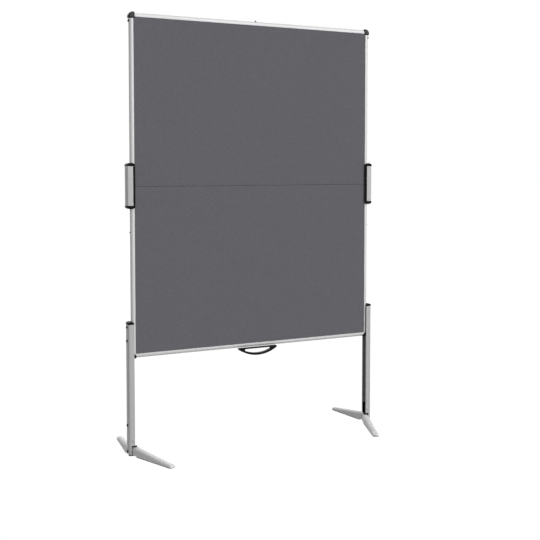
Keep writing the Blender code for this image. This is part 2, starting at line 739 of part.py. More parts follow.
def add_leg(label, side, carrier):
    """The leg channel with its catch holes and its cut-away end, and its arched cap."""
    name = f"leg_channel_{label}"
    channel = prism(name, mirrored(channel_outline(CHANNEL_LIP), side), LEG_BASE, LEG_TOP - LEG_CAP)
    channel = add_object(name, channel, ALUMINIUM, carrier)
    for word, height in (("upper", HOLE_Z), ("lower", HOLE_Z - LEG_TRAVEL)):
        near, far = CHANNEL_OUT - CHANNEL_WALL - OVERRUN, CHANNEL_OUT + OVERRUN
        hole = cross_rod(f"{name}_{word}_hole", side, height, HOLE_RADIUS, near, far)
        change(channel, add_object(hole.name, hole, None, carrier), "DIFFERENCE")
    mouth = block_outline(CHANNEL_IN - OVERRUN, STRIP_X, -CHANNEL_Y - OVERRUN, CHANNEL_Y + OVERRUN)
    back = block_outline(STRIP_X - OVERRUN, CHANNEL_OUT + OVERRUN, CHANNEL_WALL / 2, CHANNEL_Y + OVERRUN)
    for word, outline in (("mouth", mouth), ("back", back)):
        notch = prism(f"{name}_{word}", mirrored(outline, side), LEG_BASE - OVERRUN, LEG_CUT_Z)
        change(channel, add_object(notch.name, notch, None, carrier), "DIFFERENCE")
    toe = prism(f"{name}_toe", mirrored(toe_outline(), side), -CHANNEL_Y - OVERRUN, CHANNEL_Y + OVERRUN, "Y")
    change(channel, add_object(toe.name, toe, None, carrier), "DIFFERENCE")

    name = f"leg_cap_{label}"
    outline = cap_outline(CHANNEL_IN, LEG_CAP_SEAT, LEG_CAP_END, LEG_CAP - SEAT_GAP)
    arch = prism(name, mirrored(outline, side), -CHANNEL_Y, CHANNEL_Y, "Y")
    cap = add_object(name, arch, BLACK_PLASTIC, carrier)
    soften(cap, LEG_CAP_EDGE)
    low, high = LEG_CAP_SEAT - LEG_CAP_SKIRT, LEG_CAP_SEAT + LEG_CAP_END / 2
    skirt = block_outline(BORE_IN, BORE_OUT, -BORE_Y, BORE_Y, CHANNEL_ROUND - CHANNEL_WALL)
    skirt = prism(f"{name}_skirt", mirrored(skirt, side), low, high)
    change(cap, add_object(skirt.name, skirt, None, carrier), "UNION")
    slot = block_outline(CHANNEL_IN - OVERRUN, STILE_SLOT_X, -STILE_SLOT_Y, STILE_SLOT_Y)
    slot = prism(f"{name}_slot", mirrored(slot, side), low - OVERRUN, LEG_TOP + OVERRUN)
    change(cap, add_object(slot.name, slot, None, carrier), "DIFFERENCE")


def toe_outline():
    """What rounds the leg's outer lower corner, drawn in XZ."""
    middle_x, middle_z = CHANNEL_OUT - LEG_TOE_ROUND, LEG_BASE + LEG_TOE_ROUND
    outline = arc((middle_x, middle_z), LEG_TOE_ROUND, 0, -90, ARC_STEPS)
    outline.append(Vector((middle_x, LEG_BASE - OVERRUN)))
    outline.append(Vector((CHANNEL_OUT + OVERRUN, LEG_BASE - OVERRUN)))
    outline.append(Vector((CHANNEL_OUT + OVERRUN, middle_z)))
    return outline


def add_runner(label, side, carrier):
    """The bush on the stile that guides the leg and holds the catch button and its spring."""
    name = f"leg_runner_{label}"
    outline = bush_outline(
        BORE_IN, BORE_OUT, BORE_Y, FRAME_X + SEAT_GAP, FRAME_Y + SEAT_GAP, CHANNEL_ROUND - CHANNEL_WALL
    )
    runner = prism(name, mirrored(outline, side), RUNNER_LOW, RUNNER_TOP)
    runner = add_object(name, runner, BLACK_PLASTIC, carrier)
    radius = BUTTON_RADIUS + SEAT_GAP
    bore = cross_rod(f"{name}_bore", side, HOLE_Z, radius, FRAME_X - OVERRUN, BORE_OUT + OVERRUN)
    change(runner, add_object(bore.name, bore, None, carrier), "DIFFERENCE")


def add_button(label, side, slide, base):
    """The catch button, just short of the leg's wall, and the coil spring behind it."""
    tip = CHANNEL_OUT - CHANNEL_WALL - SEAT_GAP
    name = f"catch_button_{label}"
    button = cross_rod(name, side, HOLE_Z, BUTTON_RADIUS, tip - BUTTON_LENGTH, tip)
    add_object(name, button, BLACK_PLASTIC, slide)

    name = f"button_spring_{label}"
    start = FRAME_X + SEAT_GAP + SPRING_WIRE / 2
    length = tip - BUTTON_LENGTH - SEAT_GAP - SPRING_WIRE / 2 - start
    curve = bpy.data.curves.new(name, "CURVE")
    curve.dimensions = "3D"
    curve.bevel_depth = SPRING_WIRE / 2
    curve.bevel_resolution = 0
    curve.use_fill_caps = True
    spline = curve.splines.new("POLY")
    count = SPRING_TURNS * SPRING_POINTS
    spline.points.add(count)
    for index, point in enumerate(spline.points):
        turn = math.tau * index / SPRING_POINTS
        y, z = SPRING_RADIUS * math.cos(turn), SPRING_RADIUS * math.sin(turn)
        point.co = (side * (start + length * index / count), y, HOLE_Z + z, 1)
    add_object(name, finished(baked_curve(curve)), STEEL, base)


# Foot brackets

def bracket_plate():
    """The plate round both pivot pins and the post, kept inside the channel's front strip."""
    front = (FRONT_PIVOT_X, -PIVOT_Y)
    rear = (REAR_PIVOT_X, PIVOT_Y)
    corner = CHANNEL_ROUND - CHANNEL_WALL
    outline = arc(front, LUG_RADIUS, 160, 315, ROUND_SIDES // 2)
    outline += [Vector((STRIP_X - SEAT_GAP, -BORE_Y))]
    outline += arc((BORE_OUT - corner, corner - BORE_Y), corner, 270, 360, ARC_STEPS)
    outline += [Vector((BORE_OUT, BRACKET_POST - BORE_Y))]
    outline += arc(rear, LUG_RADIUS, -30, 200, ROUND_SIDES // 2)
    return outline


def add_bracket(label, side, carrier):
    """The block in the leg's end: a plate above and below the feet, joined by a post."""
    name = f"foot_bracket_{label}"
    plate = mirrored(bracket_plate(), side)
    overlap = BRACKET_PLATE / 2
    bracket = add_object(name, prism(name, plate, PLATE_LOW, PLATE_TOP), BLACK_PLASTIC, carrier)
    floor = prism(f"{name}_floor", plate, BRACKET_BASE, FLOOR_TOP)
    low_y, high_y = SEAT_GAP - BORE_Y, BRACKET_POST - BORE_Y - SEAT_GAP
    post = block_outline(STRIP_X + SLIDE_GAP, BORE_OUT - SEAT_GAP, low_y, high_y)
    low, high = FLOOR_TOP - BRACKET_FLOOR / 2, PLATE_LOW + overlap / 2
    post = prism(f"{name}_post", mirrored(post, side), low, high)
    tang = bush_outline(
        BORE_IN,
        BORE_OUT - SEAT_GAP,
        BORE_Y - SEAT_GAP,
        BORE_OUT - BRACKET_BACK,
        BORE_Y - BRACKET_CHEEK,
        CHANNEL_ROUND - CHANNEL_WALL,
    )
    tang = prism(f"{name}_tang", mirrored(tang, side), PLATE_LOW + overlap, BRACKET_TOP)
    for mesh in (tang, post, floor):
        change(bracket, add_object(mesh.name, mesh, None, carrier), "UNION")

    for word, x, y in (("front", FRONT_PIVOT_X, -PIVOT_Y), ("rear", REAR_PIVOT_X, PIVOT_Y)):
        low, high = (side * x, y, BRACKET_BASE), (side * x, y, PLATE_TOP)
        slack = Vector((0, 0, SEAT_GAP))
        radius = FOOT_PIN_RADIUS + SEAT_GAP
        bore = rod(f"{name}_{word}_bore", Vector(low) - slack, Vector(high) + slack, radius)
        change(bracket, add_object(bore.name, bore, None, carrier), "DIFFERENCE")
        pin = rod(f"{word}_foot_pin_{label}", Vector(low) + slack, Vector(high) - slack, FOOT_PIN_RADIUS)
        add_object(pin.name, pin, STEEL, carrier)

    name = f"bracket_bolt_{label}"
    x = side * (CHANNEL_IN + BOLT_INSET)
    seat = -CHANNEL_Y - SEAT_GAP
    bolt = rod(name, (x, seat, BOLT_Z), (x, seat - BOLT_HEIGHT, BOLT_Z), BOLT_RADIUS)
    add_object(name, bolt, STEEL, carrier)


# Swing feet, drawn pointing along -Y from their pins

def foot_section(along, half_width, height):
    """One ring of the foot: flat under, upright sides and a rounded top."""
    radius = min(FOOT_ROUND, half_width / 2, (height - FOOT_BASE) * FOOT_CROWN_SHARE)
    top = height - radius
    ring = [(-half_width, FOOT_BASE), (half_width, FOOT_BASE)]
    ring += [tuple(point) for point in arc((half_width - radius, top), radius, 0, 90, ARC_STEPS)]
    ring += [tuple(point) for point in arc((radius - half_width, top), radius, 90, 180, ARC_STEPS)]
    return [(x, -along, z) for x, z in ring]


def foot_sections():
    half = FOOT_WIDTH / 2
    fall = (FOOT_HEIGHT - FOOT_TIP_HEIGHT) / (FOOT_LENGTH - FOOT_SHOULDER)
    sections = []
    for step in range(ROOT_SECTIONS):
        turn = math.pi / 2 * (step + 1) / (ROOT_SECTIONS + 1)
        sections.append(foot_section(-half * math.cos(turn), half * math.sin(turn), FOOT_HEIGHT))
    straight = FOOT_LENGTH - FOOT_TIP_ROUND
    pitch = (straight - FOOT_SHOULDER) / FOOT_SECTIONS
    places = [0] + [FOOT_SHOULDER + pitch * step for step in range(FOOT_SECTIONS + 1)]
    for along in places:
        height = FOOT_HEIGHT - fall * max(0, along - FOOT_SHOULDER)
        sections.append(foot_section(along, half, height))
    for step in range(ARC_STEPS):
        turn = math.pi / 2 * (step + 1) / (ARC_STEPS + 1 / 2)
        along = straight + FOOT_TIP_ROUND * math.sin(turn)
        width = half - FOOT_TIP_ROUND * (1 - math.cos(turn))
        sections.append(foot_section(along, width, FOOT_HEIGHT - fall * (along - FOOT_SHOULDER)))
    return sections


def add_foot(word, label, carrier):
    name = f"{word}_foot_{label}"
    foot = add_object(name, loft(name, foot_sections()), FOOT_ALUMINIUM, carrier, local=True)
    reach = FOOT_WIDTH / 2 + OVERRUN
    recess = box(f"{name}_recess", (-reach, -PAD_START, 0), (reach, reach, FLOOR_TOP + SLIDE_GAP))
    change(foot, add_object(recess.name, recess, None, carrier, local=True), "DIFFERENCE")
    bore = rod(f"{name}_bore", (0, 0, 0), (0, 0, FOOT_HEIGHT + OVERRUN), FOOT_PIN_RADIUS + SEAT_GAP)
    change(foot, add_object(bore.name, bore, None, carrier, local=True), "DIFFERENCE")
    middle = (FLOOR_TOP + FOOT_HEIGHT) / 2
    half = FOOT_WIDTH / 2
    for way in (-1, 1):
        near, far = (way * (half - DIMPLE_DEPTH), 0, middle), (way * (half + OVERRUN), 0, middle)
        dimple = rod(f"{name}_dimple_{way + 1}", near, far, DIMPLE_RADIUS, HEAD_SIDES)
        change(foot, add_object(dimple.name, dimple, None, carrier, local=True), "DIFFERENCE")

    name = f"{word}_foot_pad_{label}"
    half = FOOT_WIDTH / 2 - PAD_INSET
    end = PAD_INSET - FOOT_LENGTH
    outline = rounded((
        (-half, -PAD_START - PAD_INSET, 0),
        (-half, end, FOOT_TIP_ROUND),
        (half, end, FOOT_TIP_ROUND),
        (half, -PAD_START - PAD_INSET, 0),
    ))
    add_object(name, prism(name, outline, 0, PAD_THICKNESS), RUBBER, carrier, local=True)


def main():
    upper = pivot("upper_panel_fold", (0, HINGE_AXIS_Y, SEAM_Z))
    lower = pivot("lower_panel")
    add_panel("lower", BOARD_LOW, 1, lower)
    add_panel("upper", BOARD_TOP, -1, upper)
    add_rail("bottom_rail", BOARD_LOW, 1, lower)
    add_rail("top_rail", BOARD_TOP, -1, upper)
    add_stud(upper)
    add_handle(lower)
    for label, side in SIDES:
        add_hinge_leaf("lower", -1, label, side, lower)
        add_hinge_leaf("upper", 1, label, side, upper)
        add_hinge_pin(label, side, lower)
        add_stop_screw(label, side, lower)
        add_sleeve(label, side, pivot(f"{label}_sleeve_slide", (side * FRAME_X, 0, SLEEVE_LOW)))
        add_runner(label, side, lower)
        add_button(label, side, pivot(f"{label}_button_press", (side * FRAME_X, 0, HOLE_Z)), lower)
        leg = pivot(f"{label}_leg_slide", (side * CHANNEL_IN, 0, 0))
        add_leg(label, side, leg)
        add_bracket(label, side, leg)
        place = (side * FRONT_PIVOT_X, -PIVOT_Y, 0)
        front = pivot(f"{label}_front_foot_swing", place, -side * FRONT_SPLAY)
        place = (side * REAR_PIVOT_X, PIVOT_Y, 0)
        rear = pivot(f"{label}_rear_foot_swing", place, math.pi + side * REAR_SPLAY)
        add_foot("front", label, front)
        add_foot("rear", label, rear)


clear_scene()
PARTS = new_collection("mobile_pinboard")
CUTTERS = new_collection("cutters")
ALUMINIUM = material("anodised_aluminium", (0.62, 0.62, 0.63), 0.38, 0.9)
FOOT_ALUMINIUM = material("silver_coated_casting", (0.66, 0.66, 0.66), 0.45, 0.6)
FELT = material("grey_felt", (0.127, 0.124, 0.139), 0.95)
CORE_BOARD = material("core_board", (0.55, 0.45, 0.33), 0.9)
GREY_PLASTIC = material("grey_plastic", (0.10, 0.10, 0.10), 0.55)
BLACK_PLASTIC = material("black_plastic", (0.012, 0.012, 0.012), 0.5)
RUBBER = material("black_rubber", (0.02, 0.02, 0.02), 0.85)
STEEL = material("zinc_steel", (0.6, 0.6, 0.6), 0.35, 1.0)
BLACK_STEEL = material("black_steel", (0.01, 0.01, 0.01), 0.4, 0.5)
main()
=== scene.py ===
"""Finished look of the mobile pinboard: felt, extrusions, castings, moulded caps and fasteners.

Metres, +Z up, -Y towards the viewer. Right-hand pieces are drawn at +X and mirrored for the left.
"""

from __future__ import annotations

import logging
import math
from dataclasses import dataclass, field
from enum import Enum
from typing import Iterable, Sequence

import bmesh
import bpy
import numpy as np
from mathutils import Matrix, Vector


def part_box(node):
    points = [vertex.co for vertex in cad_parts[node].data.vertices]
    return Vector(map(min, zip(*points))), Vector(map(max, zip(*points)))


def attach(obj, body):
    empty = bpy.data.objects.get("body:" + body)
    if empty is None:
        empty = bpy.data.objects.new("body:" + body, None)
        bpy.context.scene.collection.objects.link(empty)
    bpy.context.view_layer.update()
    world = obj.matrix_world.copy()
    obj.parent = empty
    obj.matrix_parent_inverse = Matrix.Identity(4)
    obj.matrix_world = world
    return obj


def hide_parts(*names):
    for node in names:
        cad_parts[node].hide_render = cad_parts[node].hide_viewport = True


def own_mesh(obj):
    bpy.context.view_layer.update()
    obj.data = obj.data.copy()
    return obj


LOG = logging.getLogger("pinboard")
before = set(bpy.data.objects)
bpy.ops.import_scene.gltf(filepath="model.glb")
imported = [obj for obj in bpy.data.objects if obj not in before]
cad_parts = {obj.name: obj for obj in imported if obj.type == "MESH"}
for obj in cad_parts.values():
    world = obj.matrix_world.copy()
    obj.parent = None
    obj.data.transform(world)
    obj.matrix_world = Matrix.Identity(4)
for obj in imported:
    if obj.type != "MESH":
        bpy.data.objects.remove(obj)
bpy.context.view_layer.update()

Point = tuple[float, float]
Corner = tuple[float, float, float]
Outline = Sequence[Sequence[float]]
Seat = tuple[Sequence[float], Sequence[float]]
Mesh = bpy.types.Mesh
Material = bpy.types.Material
Node = bpy.types.Node
Socket = bpy.types.NodeSocket

# The height of the seam between the two panels.
SEAM_Z = 1.205
# How far a cutter reaches past what it cuts.
SPARE = 0.003
# Edges that turn by more than this, in degrees, stay sharp.
SHARP_ANGLE = 32.0
# Vertices that are nearer than this are one.
MERGE = 0.00001
FINE_MERGE = 0.000001


class Side(Enum):
    """The two sides of the board, as seen from the front."""

    LEFT = "left"
    RIGHT = "right"

    @property
    def sign(self) -> int:
        """The side's direction along X."""
        return -1 if self is Side.LEFT else 1


class Axis(Enum):
    """The way a section is extruded."""

    X = "X"
    Y = "Y"
    Z = "Z"

    @property
    def turn(self) -> Matrix:
        """Turns a section drawn in XY.

        Returns:
            The turn that draws it in YZ for X, in XZ for Y and in XY for Z.
        """
        if self is Axis.X:
            return Matrix(((0, 0, 1, 0), (1, 0, 0, 0), (0, 1, 0, 0), (0, 0, 0, 1)))
        if self is Axis.Y:
            return Matrix(((1, 0, 0, 0), (0, 0, -1, 0), (0, 1, 0, 0), (0, 0, 0, 1)))
        return Matrix.Identity(4)

    @property
    def along(self) -> Vector:
        """The unit vector of the axis."""
        return Vector([float(self.value == letter) for letter in "XYZ"])


class Half(Enum):
    """The two halves of the board, which are hinged at the seam."""

    LOWER = "lower"
    UPPER = "upper"

    @property
    def sign(self) -> int:
        """The half's direction from the seam, along Z."""
        return -1 if self is Half.LOWER else 1


class Face(Enum):
    """The two faces of the board."""

    FRONT = "front"
    REAR = "rear"

    @property
    def sign(self) -> int:
        """The face's direction along Y."""
        return -1 if self is Face.FRONT else 1


class End(Enum):
    """The two ends of an upright piece."""

    TOP = "top"
    BOTTOM = "bottom"

    @property
    def sign(self) -> int:
        """The end's direction along Z."""
        return 1 if self is End.TOP else -1


class Slot(Enum):
    """The record's material slots."""

    ALUMINIUM = "anodised_aluminium"
    CASTING = "silver_casting"
    BLACK_PLASTIC = "black_plastic"
    GREY_PLASTIC = "grey_plastic"
    RUBBER = "black_rubber"
    FELT = "grey_felt"
    ZINC_STEEL = "zinc_steel"
    BLACK_STEEL = "black_steel"


# Outlines

def arc(middle: Sequence[float], radius: float, start: float, end: float, steps: int) -> list[Vector]:
    """Points on a circle.

    Args:
        middle: the circle's centre.
        radius: its radius.
        start: the first angle, in degrees.
        end: the last angle, in degrees.
        steps: how many stretches the arc has.

    Returns:
        The points from start to end, both included.
    """
    angles = [math.radians(start + (end - start) * step / steps) for step in range(steps + 1)]
    x, y = middle
    return [Vector((x + radius * math.cos(a), y + radius * math.sin(a))) for a in angles]


def rounded(corners: Sequence[Corner], steps: int = 8) -> list[Vector]:
    """An outline through corners, with an arc in place of each one that has a radius.

    Args:
        corners: (x, y, radius) of each corner in order.
        steps: how many stretches each arc has.

    Returns:
        The outline's points.
    """
    points: list[Vector] = []
    for index, (x, y, radius) in enumerate(corners):
        here = Vector((x, y))
        if not radius:
            points.append(here)
            continue
        back = (Vector(corners[index - 1][:2]) - here).normalized()
        ahead = (Vector(corners[(index + 1) % len(corners)][:2]) - here).normalized()
        half = back.angle(ahead) / 2
        middle = here + (back + ahead).normalized() * (radius / math.sin(half))
        first = here + back * (radius / math.tan(half)) - middle
        last = here + ahead * (radius / math.tan(half)) - middle
        start = math.atan2(first.y, first.x)
        turn = (math.atan2(last.y, last.x) - start + math.pi) % math.tau - math.pi
        points += arc(middle, radius, math.degrees(start), math.degrees(start + turn), steps)
    return points


def mirrored(points: Iterable[Sequence[float]], side: Side) -> list[Vector]:
    """The outline on its own side of the board."""
    return [Vector((side.sign * point[0], point[1])) for point in points]


def grooved(start: Point, end: Point, places: Sequence[float], width: float, depth: float) -> list[Corner]:
    """A straight face with shallow V grooves cut into its right-hand side.

    Args:
        start: where the face starts.
        end: where the face ends.
        places: how far along the face each groove's middle is.
        width: the width of a groove.
        depth: the depth of a groove.

    Returns:
        The corners between start and end, neither of which is included.
    """
    origin, along = Vector(start), (Vector(end) - Vector(start)).normalized()
    inward = Vector((-along.y, along.x))
    corners: list[Corner] = []
    for place in places:
        for shift, sink in ((-width / 2, 0.0), (0.0, depth), (width / 2, 0.0)):
            point = origin + along * (place + shift) + inward * sink
            corners.append((point.x, point.y, 0.0))
    return corners


def arched(inner: float, outer: float, seat: float, end: float, crown: float, steps: int) -> list[Vector]:
    """The outline of an end cap in XZ, arched between two upright ends.

    Args:
        inner: X of the end towards the board.
        outer: X of the outer end.
        seat: Z of the straight edge.
        end: how far each end stands over the seat, or less than 0 if it hangs.
        crown: how far the middle does.
        steps: how many stretches the arch has.

    Returns:
        The outline's points.
    """
    middle, reach = (inner + outer) / 2, (outer - inner) / 2
    outline = [Vector((inner, seat)), Vector((outer, seat))]
    for step in range(steps + 1):
        turn = math.pi * step / steps
        rise = end + (crown - end) * math.sin(turn)
        outline.append(Vector((middle + reach * math.cos(turn), seat + rise)))
    return outline


# Meshes

def linked(name: str, data: bpy.types.ID) -> bpy.types.Object:
    """A new object in the scene.

    Args:
        name: the object's name.
        data: its mesh, curve, lamp or camera.

    Returns:
        The object.
    """
    made = bpy.data.objects.new(name, data)
    bpy.context.scene.collection.objects.link(made)
    return made


def evaluated(holder: bpy.types.Object, name: str, *helpers: bpy.types.Object) -> Mesh:
    """An object as a plain mesh, with its modifiers applied.

    Args:
        holder: the object, which is removed.
        name: the mesh's name.
        *helpers: the objects that its modifiers use, which are removed too.

    Returns:
        The mesh.
    """
    bpy.context.view_layer.update()
    graph = bpy.context.evaluated_depsgraph_get()
    mesh = bpy.data.meshes.new_from_object(holder.evaluated_get(graph), depsgraph=graph)
    mesh.name = name
    for gone in (holder, *helpers):
        bpy.data.objects.remove(gone)
    return mesh


def mesh_of(work: bmesh.types.BMesh, name: str) -> Mesh:
    """A new mesh of what was drawn.

    Args:
        work: what was drawn, which is freed.
        name: the mesh's name.

    Returns:
        The mesh.
    """
    mesh = bpy.data.meshes.new(name)
    work.to_mesh(mesh)
    work.free()
    return mesh


def cleaned(mesh: Mesh, sharp_angle: float = SHARP_ANGLE) -> Mesh:
    """Merges doubles, turns every face outwards and smooths all edges but the sharp ones.

    Args:
        mesh: the mesh to clean.
        sharp_angle: edges that turn by more than this, in degrees, stay sharp.

    Returns:
        The same mesh.
    """
    work = bmesh.new()
    work.from_mesh(mesh)
    bmesh.ops.remove_doubles(work, verts=work.verts, dist=MERGE)
    bmesh.ops.recalc_face_normals(work, faces=work.faces)
    work.to_mesh(mesh)
    work.free()
    mesh.shade_smooth()
    mesh.set_sharp_from_angle(angle=math.radians(sharp_angle))
    return mesh


def standing(place: Sequence[float], facing: Sequence[float]) -> Matrix:
    """Moves what stands on the origin and faces +Z to its place, and turns it the way it faces."""
    turned = Vector(facing).to_track_quat("Z", "Y").to_matrix().to_4x4()
    return Matrix.Translation(place) @ turned


def section(name: str, outlines: Sequence[Outline]) -> Mesh:
    """A flat face in XY.

    Args:
        name: the mesh's name.
        outlines: the face's outline, and those of its holes.

    Returns:
        A mesh whose faces look up.
    """
    curve = bpy.data.curves.new(name, "CURVE")
    curve.dimensions = "2D"
    curve.fill_mode = "BOTH"
    for points in outlines:
        spline = curve.splines.new("POLY")
        spline.points.add(len(points) - 1)
        for target, point in zip(spline.points, points):
            target.co = (point[0], point[1], 0.0, 1.0)
        spline.use_cyclic_u = True
    mesh = evaluated(linked(name, curve), name)
    bpy.data.curves.remove(curve)
    work = bmesh.new()
    work.from_mesh(mesh)
    bmesh.ops.remove_doubles(work, verts=work.verts, dist=FINE_MERGE)
    down = [face for face in work.faces if face.normal.z < 0]
    bmesh.ops.reverse_faces(work, faces=down)
    work.to_mesh(mesh)
    work.free()
    return mesh


def rod(name: str, start: Sequence[float], end: Sequence[float], radius: float, sides: int = 32) -> Mesh:
    """A round bar from one point to another.

    Args:
        name: the mesh's name.
        start: the middle of one end.
        end: the middle of the other end.
        radius: the bar's radius.
        sides: how many sides it has.

    Returns:
        The closed mesh.
    """
    first, last = Vector(start), Vector(end)
    work = bmesh.new()
    bmesh.ops.create_cone(
        work,
        cap_ends=True,
        segments=sides,
        radius1=radius,
        radius2=radius,
        depth=(last - first).length,
        matrix=standing((first + last) / 2, last - first),
    )
    return cleaned(mesh_of(work, name))


def block(name: str, low: Sequence[float], high: Sequence[float], side: Side = Side.RIGHT) -> Mesh:
    """A rectangular block, for cutting.

    Args:
        name: the mesh's name.
        low: its lowest corner on the right-hand side of the board.
        high: its highest corner there.
        side: the side that it is for.

    Returns:
        The closed mesh.
    """
    near, far = sorted((side.sign * low[0], side.sign * high[0]))
    bottom, top = Vector((near, *low[1:])), Vector((far, *high[1:]))
    work = bmesh.new()
    size = Matrix.Diagonal((*(top - bottom), 1.0))
    bmesh.ops.create_cube(work, size=1.0, matrix=Matrix.Translation((bottom + top) / 2) @ size)
    return cleaned(mesh_of(work, name))


def lathe(
    name: str, profile: Sequence[Point], place: Sequence[float], facing: Sequence[float], sides: int = 32
) -> Mesh:
    """A turned piece.

    Args:
        name: the mesh's name.
        profile: (radius, height) of each ring, from the foot to the top.
        place: where the middle of the foot is.
        facing: the way the top points.
        sides: how many sides a ring has.

    Returns:
        The closed mesh.
    """
    rings = []
    for radius, height in profile:
        turn = [math.tau * index / sides for index in range(sides)]
        rings.append([(radius * math.cos(a), radius * math.sin(a), height) for a in turn])
    mesh = loft(name, rings)
    mesh.transform(standing(place, facing))
    return mesh


def ring_lathe(
    name: str, profile: Sequence[Point], place: Sequence[float], facing: Sequence[float], sides: int = 32
) -> Mesh:
    """A turned piece with a hole through it.

    Args:
        name: the mesh's name.
        profile: the closed outline of its section, as (radius, height).
        place: where the middle of its foot is.
        facing: the way the top points.
        sides: how many sides it has.

    Returns:
        The closed mesh.
    """
    work = bmesh.new()
    rings = []
    for index in range(sides):
        turn = math.tau * index / sides
        rings.append([work.verts.new((r * math.cos(turn), r * math.sin(turn), h)) for r, h in profile])
    for index, ring in enumerate(rings):
        following = rings[(index + 1) % sides]
        for step in range(len(profile)):
            after = (step + 1) % len(profile)
            work.faces.new((ring[step], following[step], following[after], ring[after]))
    mesh = mesh_of(work, name)
    mesh.transform(standing(place, facing))
    return cleaned(mesh)


def loft(name: str, rings: Sequence[Outline], sharp_angle: float = SHARP_ANGLE) -> Mesh:
    """A closed skin through rings.

    Args:
        name: the mesh's name.
        rings: the points of each ring, of which each has as many.
        sharp_angle: edges that turn by more than this, in degrees, stay sharp.

    Returns:
        The closed mesh.
    """
    work = bmesh.new()
    made = [[work.verts.new(point) for point in ring] for ring in rings]
    for first, second in zip(made, made[1:]):
        for index in range(len(first)):
            after = (index + 1) % len(first)
            work.faces.new((first[index], first[after], second[after], second[index]))
    work.faces.new(made[0])
    work.faces.new(made[-1])
    return cleaned(mesh_of(work, name), sharp_angle)


def prism(name: str, outline: Sequence[Vector], half: float) -> Mesh:
    """A straight prism along Y, from half in front to half behind, from an outline in XZ."""
    return loft(name, [[(p.x, depth, p.y) for p in outline] for depth in (-half, half)])


def carved(
    mesh: Mesh, cutters: Iterable[Mesh], joined: Iterable[Mesh] = (), sharp_angle: float = SHARP_ANGLE
) -> Mesh:
    """The mesh after other meshes are joined on and cut away.

    Args:
        mesh: the piece.
        cutters: the meshes to cut away.
        joined: the meshes to join on first.
        sharp_angle: edges that turn by more than this, in degrees, stay sharp.

    Returns:
        A plain mesh.
    """
    holder = linked(mesh.name, mesh)
    helpers = []
    for operation, others in (("UNION", joined), ("DIFFERENCE", cutters)):
        for other in others:
            helpers.append(linked(other.name, other))
            modifier = holder.modifiers.new(operation.lower(), "BOOLEAN")
            modifier.operation = operation
            modifier.solver = "EXACT"
            modifier.object = helpers[-1]
    return cleaned(evaluated(holder, mesh.name, *helpers), sharp_angle)


def bevelled(mesh: Mesh, width: float, segments: int) -> Mesh:
    """The mesh with its sharp edges rounded.

    Args:
        mesh: the piece.
        width: the width of the rounding.
        segments: how many stretches it has.

    Returns:
        A plain mesh.
    """
    holder = linked(mesh.name, mesh)
    modifier = holder.modifiers.new("edges", "BEVEL")
    modifier.width = width
    modifier.segments = segments
    modifier.limit_method = "ANGLE"
    modifier.angle_limit = math.radians(SHARP_ANGLE)
    modifier.use_clamp_overlap = True
    return cleaned(evaluated(holder, mesh.name))


# Node trees

class NodeTree:
    """A node tree that is built by name."""

    def __init__(self, nodes: bpy.types.Nodes, links: bpy.types.NodeLinks) -> None:
        """Keeps the tree's nodes and links."""
        self.nodes = nodes
        self.links = links

    def node(self, kind: str, values: dict[str, object] | None = None, **settings: object) -> Node:
        """Adds a node.

        Args:
            kind: the node's type.
            values: what each of its inputs is set to.
            **settings: what each of its properties is set to.

        Returns:
            The node.
        """
        made = self.nodes.new(kind)
        for key, setting in settings.items():
            setattr(made, key, setting)
        for key, value in (values or {}).items():
            made.inputs[key].default_value = value
        return made

    def link(self, source: Socket, target: Socket) -> None:
        """Joins two sockets."""
        self.links.new(source, target)


class Tree(NodeTree):
    """A geometry node tree, which is run on a mesh."""

    def __init__(self, name: str) -> None:
        """Starts a tree with a geometry input and output.

        Args:
            name: the tree's name.
        """
        self.group = bpy.data.node_groups.new(name, "GeometryNodeTree")
        super().__init__(self.group.nodes, self.group.links)
        self.inputs: dict[str, str] = {}
        self.add_input("Geometry", "NodeSocketGeometry")
        self.group.interface.new_socket("Geometry", in_out="OUTPUT", socket_type="NodeSocketGeometry")
        self.start = self.node("NodeGroupInput")
        self.end = self.node("NodeGroupOutput")

    def add_input(self, name: str, kind: str) -> None:
        """Adds a named input."""
        socket = self.group.interface.new_socket(name, in_out="INPUT", socket_type=kind)
        self.inputs[name] = socket.identifier

    def bake(self, name: str, mesh: Mesh, values: dict[str, object]) -> Mesh:
        """Runs the tree on a mesh.

        Args:
            name: the name of the mesh to make.
            mesh: the mesh that the tree starts from.
            values: what each named input is set to.

        Returns:
            A plain mesh without the modifier.
        """
        holder = linked(name, mesh)
        modifier = holder.modifiers.new("tree", "NODES")
        modifier.node_group = self.group
        for key, value in values.items():
            modifier[self.inputs[key]] = value
        return evaluated(holder, name)

    def finish(self, geometry: Socket) -> None:
        """Ends the tree with Realize Instances and Set Material.

        Args:
            geometry: what the tree has come to.
        """
        realize = self.node("GeometryNodeRealizeInstances")
        paint = self.node("GeometryNodeSetMaterial")
        self.link(geometry, realize.inputs["Geometry"])
        self.link(realize.outputs["Geometry"], paint.inputs["Geometry"])
        self.link(self.start.outputs["Finish"], paint.inputs["Material"])
        self.link(paint.outputs["Geometry"], self.end.inputs["Geometry"])


